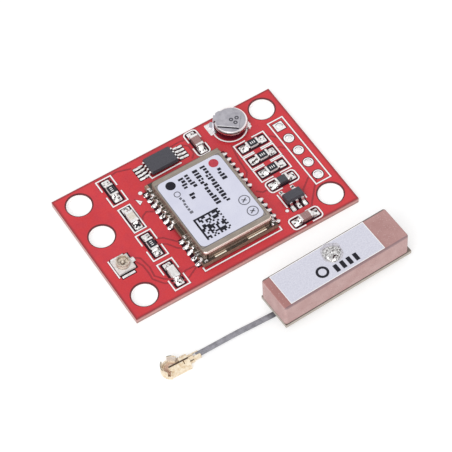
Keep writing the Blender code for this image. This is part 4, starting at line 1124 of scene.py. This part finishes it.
def make_antenna_head():
    """The feed pin's wrinkled solder head, on its shank."""
    low, high = corners("antenna_feed_pin")
    centre = middle("antenna_feed_pin")
    radius = (high.x - low.x) / 2
    shape = Shape().at(centre.x, centre.y)
    steps, rows = 56, 16
    base = ELECTRODE_TOP + 0.01
    height = high.z - base
    shank = disc((0, 0), 0.4, steps)
    rings = [[(p.x, p.y, z) for p in shank] for z in (low.z, base)]
    for row in range(rows + 1):
        share = row / rows
        ring = []
        for step in range(steps):
            angle = 2 * math.pi * step / steps
            spot = Vector((math.cos(angle), math.sin(angle), 0)) * (1 - share) * 3.4
            rough = noise.noise(spot + Vector((0, 0, 4.2)))
            fine = noise.noise(spot * 2.3 + Vector((7.1, 0, 0)))
            reach = radius * (1 - share * 0.985) * (0.94 + 0.06 * math.sin(angle * 3 + 1))
            dome = math.sin(min(share * 3.2, 1) * math.pi / 2)
            rise = height * dome * (0.72 + 0.32 * rough + 0.14 * fine)
            ring.append((reach * math.cos(angle), reach * math.sin(angle), base + max(rise, 0)))
        rings.append(ring)
    shape.loft(rings)
    top = high.z - 0.03
    shape.stroke(arc((0, -1.0), 0.38, 0, 165, 12), 0.14, base, top - 0.1, 1)
    for place in ((0.32, 0.84), (1.2, 0.2), (-0.39, 0.6), (1.15, -0.2), (0.3, 0.2), (-0.9, -0.3)):
        shape.prism(disc(place, 0.08, 8), base, top - 0.12 * Vector(place).length, 1)
    shape.piece("antenna_feed_head", ["feed_solder", "opening_and_shade"], "tinned_metal",
                replaces=["antenna_feed_pin"])
    skirt = Shape().at(centre.x + 0.1, centre.y + 0.17)
    skirt.mound(radius + 0.16, radius + 0.16, ELECTRODE_TOP, 0.05, 3, 0.1, steps=40)
    skirt.piece("antenna_feed_skirt", ["pale_flux"], "tinned_metal")


def make_antenna_print():
    """A generic ring and a row of bars on the electrode, and a painted highlight round its edge."""
    shape = Shape().at(*ANTENNA_MIDDLE, 0, ANTENNA_TURN)
    top = ELECTRODE_TOP + INK_RISE
    shape.stroke(disc((-2.8, -0.9), 0.76), 0.36, ELECTRODE_TOP, top, closed=True)
    for i in range(4):
        x = -1.15 + i * 1.08
        shape.prism(square(x, x + 0.62, -2.1, -0.85), ELECTRODE_TOP, top)
    shape.piece("antenna_print", ["dark_ink"], "chip_black")
    # Painted highlight: a thin white line round the electrode's edge.
    edge_highlight = Shape().at(*ANTENNA_MIDDLE, 0, ANTENNA_TURN)
    outline = square(-9.08, 6.39, -2.58, 2.58)
    edge_highlight.stroke(outline, 0.1, ELECTRODE_TOP, ELECTRODE_TOP + TRACK_RISE, closed=True)
    edge_highlight.piece("antenna_electrode_edge_highlight", ["white_ink"], "electrode_silver")


def make_cable():
    """The short coaxial lead, on the same smooth route as its solid."""
    points = [Vector(p) for p in (
        (-0.325, -21.282, 0.68), (-5.0, -21.05, 0.62), (-8.0, -20.86, 0.52), (-11.0, -20.84, 0.54),
        (-14.40, -20.846, 0.62))]
    padded = [2 * points[0] - points[1], *points, 2 * points[-1] - points[-2]]
    route = [points[0]]
    for before, start, end, after in zip(padded, padded[1:], padded[2:], padded[3:]):
        for step in range(1, 15):
            t = step / 14
            route.append(0.5 * (2 * start + (end - before) * t
                                + (2 * before - 5 * start + 4 * end - after) * t ** 2
                                + (3 * start - before - 3 * end + after) * t ** 3))
    radius, steps = 0.4, 20
    shape = Shape()
    rings = []
    for i, point in enumerate(route):
        ahead = route[min(i + 1, len(route) - 1)] - route[max(i - 1, 0)]
        side = Vector((-ahead.y, ahead.x, 0)).normalized()
        over = side.cross(ahead).normalized()
        turns = [2 * math.pi * step / steps for step in range(steps)]
        rings.append([point + radius * (math.cos(a) * side + math.sin(a) * over) for a in turns])
    shape.loft(rings)
    shape.piece("pigtail_cable_sheath", ["cable"], "cable_grey", replaces=["pigtail_cable"])


def make_crimp_wings():
    """The crimp's wings, folded over the cable, the pale core insulation there and the plug's dark lines: a
    painted shadow under the hood's edge and dark arcs on the barrel's top.
    """
    axis_height = 0.62
    place = (*PLUG_MIDDLE, 0, PLUG_TURN)
    wings = Shape().at(*place)
    folds = ((3.42, 4.34, 0.5, 0.62, -1, 64), (2.62, 3.36, 0.45, 0.55, -1, 84),
             (2.62, 3.36, 0.45, 0.55, 1, 84))
    for near, far, inner, outer, side, end in folds:
        profile = []
        for radius, (first, last) in ((outer, (28, end)), (inner, (end, 28))):
            for point in arc((0, 0), radius, first, last, 7):
                profile.append((side * point.x, axis_height + point.y))
        wings.loft([[(x, y, z) for y, z in profile] for x in (near, far)])
    wings.piece("plug_crimp_wings", ["gold"], "contact_gold")
    lines = Shape().at(*place)
    # Painted shadow: a dark strip along the hood's edge.
    lines.stroke(((-0.42, -0.17), (2.56, -0.17)), 0.22, 1.3, 1.4)
    for start, end in ((57, 86), (130, 190)):
        lines.stroke(arc((0, 0), 1.4, start, end, 12), 0.09, 1.45, 1.506, 1)
    lines.piece("plug_dark_lines", ["seam", "dark_olive"], "contact_gold")
    core = Shape().at(*place)
    core.loft([[(x, p.x, axis_height + p.y) for p in disc((0, 0), 0.34)] for x in (2.5, 3.9)])
    core.piece("cable_core_insulation", ["insulator"], "insulator_white")


# Surroundings

def make_stage():
    """A pale floor that is white to the camera and keeps a faint shadow, under a white surround."""
    mesh = bpy.data.meshes.new("floor")
    half = 3.0
    mesh.from_pydata([(x * half, y * half, -0.00002) for x, y in ((-1, -1), (1, -1), (1, 1), (-1, 1))],
                     [], [(0, 1, 2, 3)])
    floor = bpy.data.objects.new("floor", mesh)
    bpy.context.scene.collection.objects.link(floor)
    material = bpy.data.materials.new("floor_finish")
    material.use_nodes = True
    graph = Graph(material.node_tree)
    graph.nodes.remove(graph.nodes["Principled BSDF"])
    plain = graph.node("BsdfDiffuse", {"Color": (0.62, 0.62, 0.62, 1.0)})
    glow = graph.node("Emission", {"Strength": 0.48})
    both = graph.node("AddShader", {0: plain.outputs[0], 1: glow.outputs[0]})
    graph.choose(graph.node("BsdfDiffuse", {"Color": (0.82, 0.82, 0.82, 1.0)}), both, "Material Output")
    mesh.materials.append(material)


def make_world():
    """An even white surround that lights the part a little less than it shows."""
    world = bpy.data.worlds.new("surround")
    world.use_nodes = True
    graph = Graph(world.node_tree)
    ambient = graph.nodes["Background"]
    ambient.inputs["Color"].default_value = (1.0, 1.0, 1.0, 1.0)
    ambient.inputs["Strength"].default_value = 0.62
    white = graph.node("Background", {"Color": (1.0, 1.0, 1.0, 1.0), "Strength": 1.0})
    graph.choose(ambient, white, "World Output")
    bpy.context.scene.world = world


def make_lamp():
    """One wide soft lamp, high on the left and in front."""
    light = bpy.data.lights.new("key", "SUN")
    light.energy = 1.5
    light.angle = math.radians(40)
    lamp = bpy.data.objects.new("key", light)
    towards = Vector((-0.62, -0.55, 0.95))
    lamp.rotation_euler = towards.to_track_quat("Z", "Y").to_euler()
    bpy.context.scene.collection.objects.link(lamp)


def make_camera():
    azimuth, elevation, roll = (math.radians(angle) for angle in (-28.739, 55.435, -4.107))
    target = Vector((0.000173, -0.005407, 0.001))
    distance = 0.319275
    back = Vector((math.sin(azimuth) * math.cos(elevation), -math.cos(azimuth) * math.cos(elevation),
                   math.sin(elevation)))
    right = Vector((math.cos(azimuth), math.sin(azimuth), 0))
    up = back.cross(right)
    rolled_right = math.cos(roll) * right + math.sin(roll) * up
    rolled_up = math.cos(roll) * up - math.sin(roll) * right
    matrix = Matrix((rolled_right, rolled_up, back)).transposed().to_4x4()
    matrix.translation = target + back * distance
    camera = bpy.data.cameras.new("camera")
    camera.lens = 181.698
    camera.sensor_width = 36
    camera.clip_start = 0.01
    thing = bpy.data.objects.new("camera", camera)
    thing.matrix_world = matrix
    bpy.context.scene.collection.objects.link(thing)
    bpy.context.scene.camera = thing


# The kept solids that wear each finish
SOLIDS = {
    "board": ["circuit_board"],
    "carrier": ["receiver_carrier_board"],
    "base_board": ["antenna_base_board"],
    "shield": ["receiver_shield_can", "antenna_shield_can"],
    "label": ["receiver_label"],
    "black_film": ["receiver_chip", "antenna_amplifier"],
    "cell": ["backup_cell", "reference_crystal"],
    "white_ceramic": ["band_filter"],
    "tab": ["backup_cell_top_tab"],
    "tin": ["backup_cell_bottom_tab"],
    "memory": ["memory_chip"],
    "regulator": ["voltage_regulator"],
    "insulator": ["coax_socket_base"],
    "warm_insulator": ["plug_insulator"],
    "socket_gold": ["coax_socket_ring"],
    "socket_floor": ["coax_socket_pin"],
    "plug_sheet": ["plug_shell"],
    "gold": ["plug_contact"],
    "ceramic": ["antenna_ceramic"],
    "electrode": ["antenna_electrode"],
}

make_camera()
make_world()
make_lamp()
make_stage()
for finish, nodes in SOLIDS.items():
    dress(finish, nodes)
make_tracks()
make_mask_openings()
make_pads()
make_hole_rims()
make_header_pads()
make_silkscreen()
for chip in CHIPS_ALONG_X + CHIPS_ALONG_Y:
    make_small_chip(chip)
make_chip_solder()
make_chip_marks()
make_lead_solder()
make_module_contacts()
make_module_strip()
make_can_skirt()
make_label_print()
make_cell_details()
make_socket_details()
make_antenna_head()
make_antenna_print()
make_cable()
make_crimp_wings()

view_settings = bpy.context.scene.view_settings
view_settings.view_transform = "Standard"
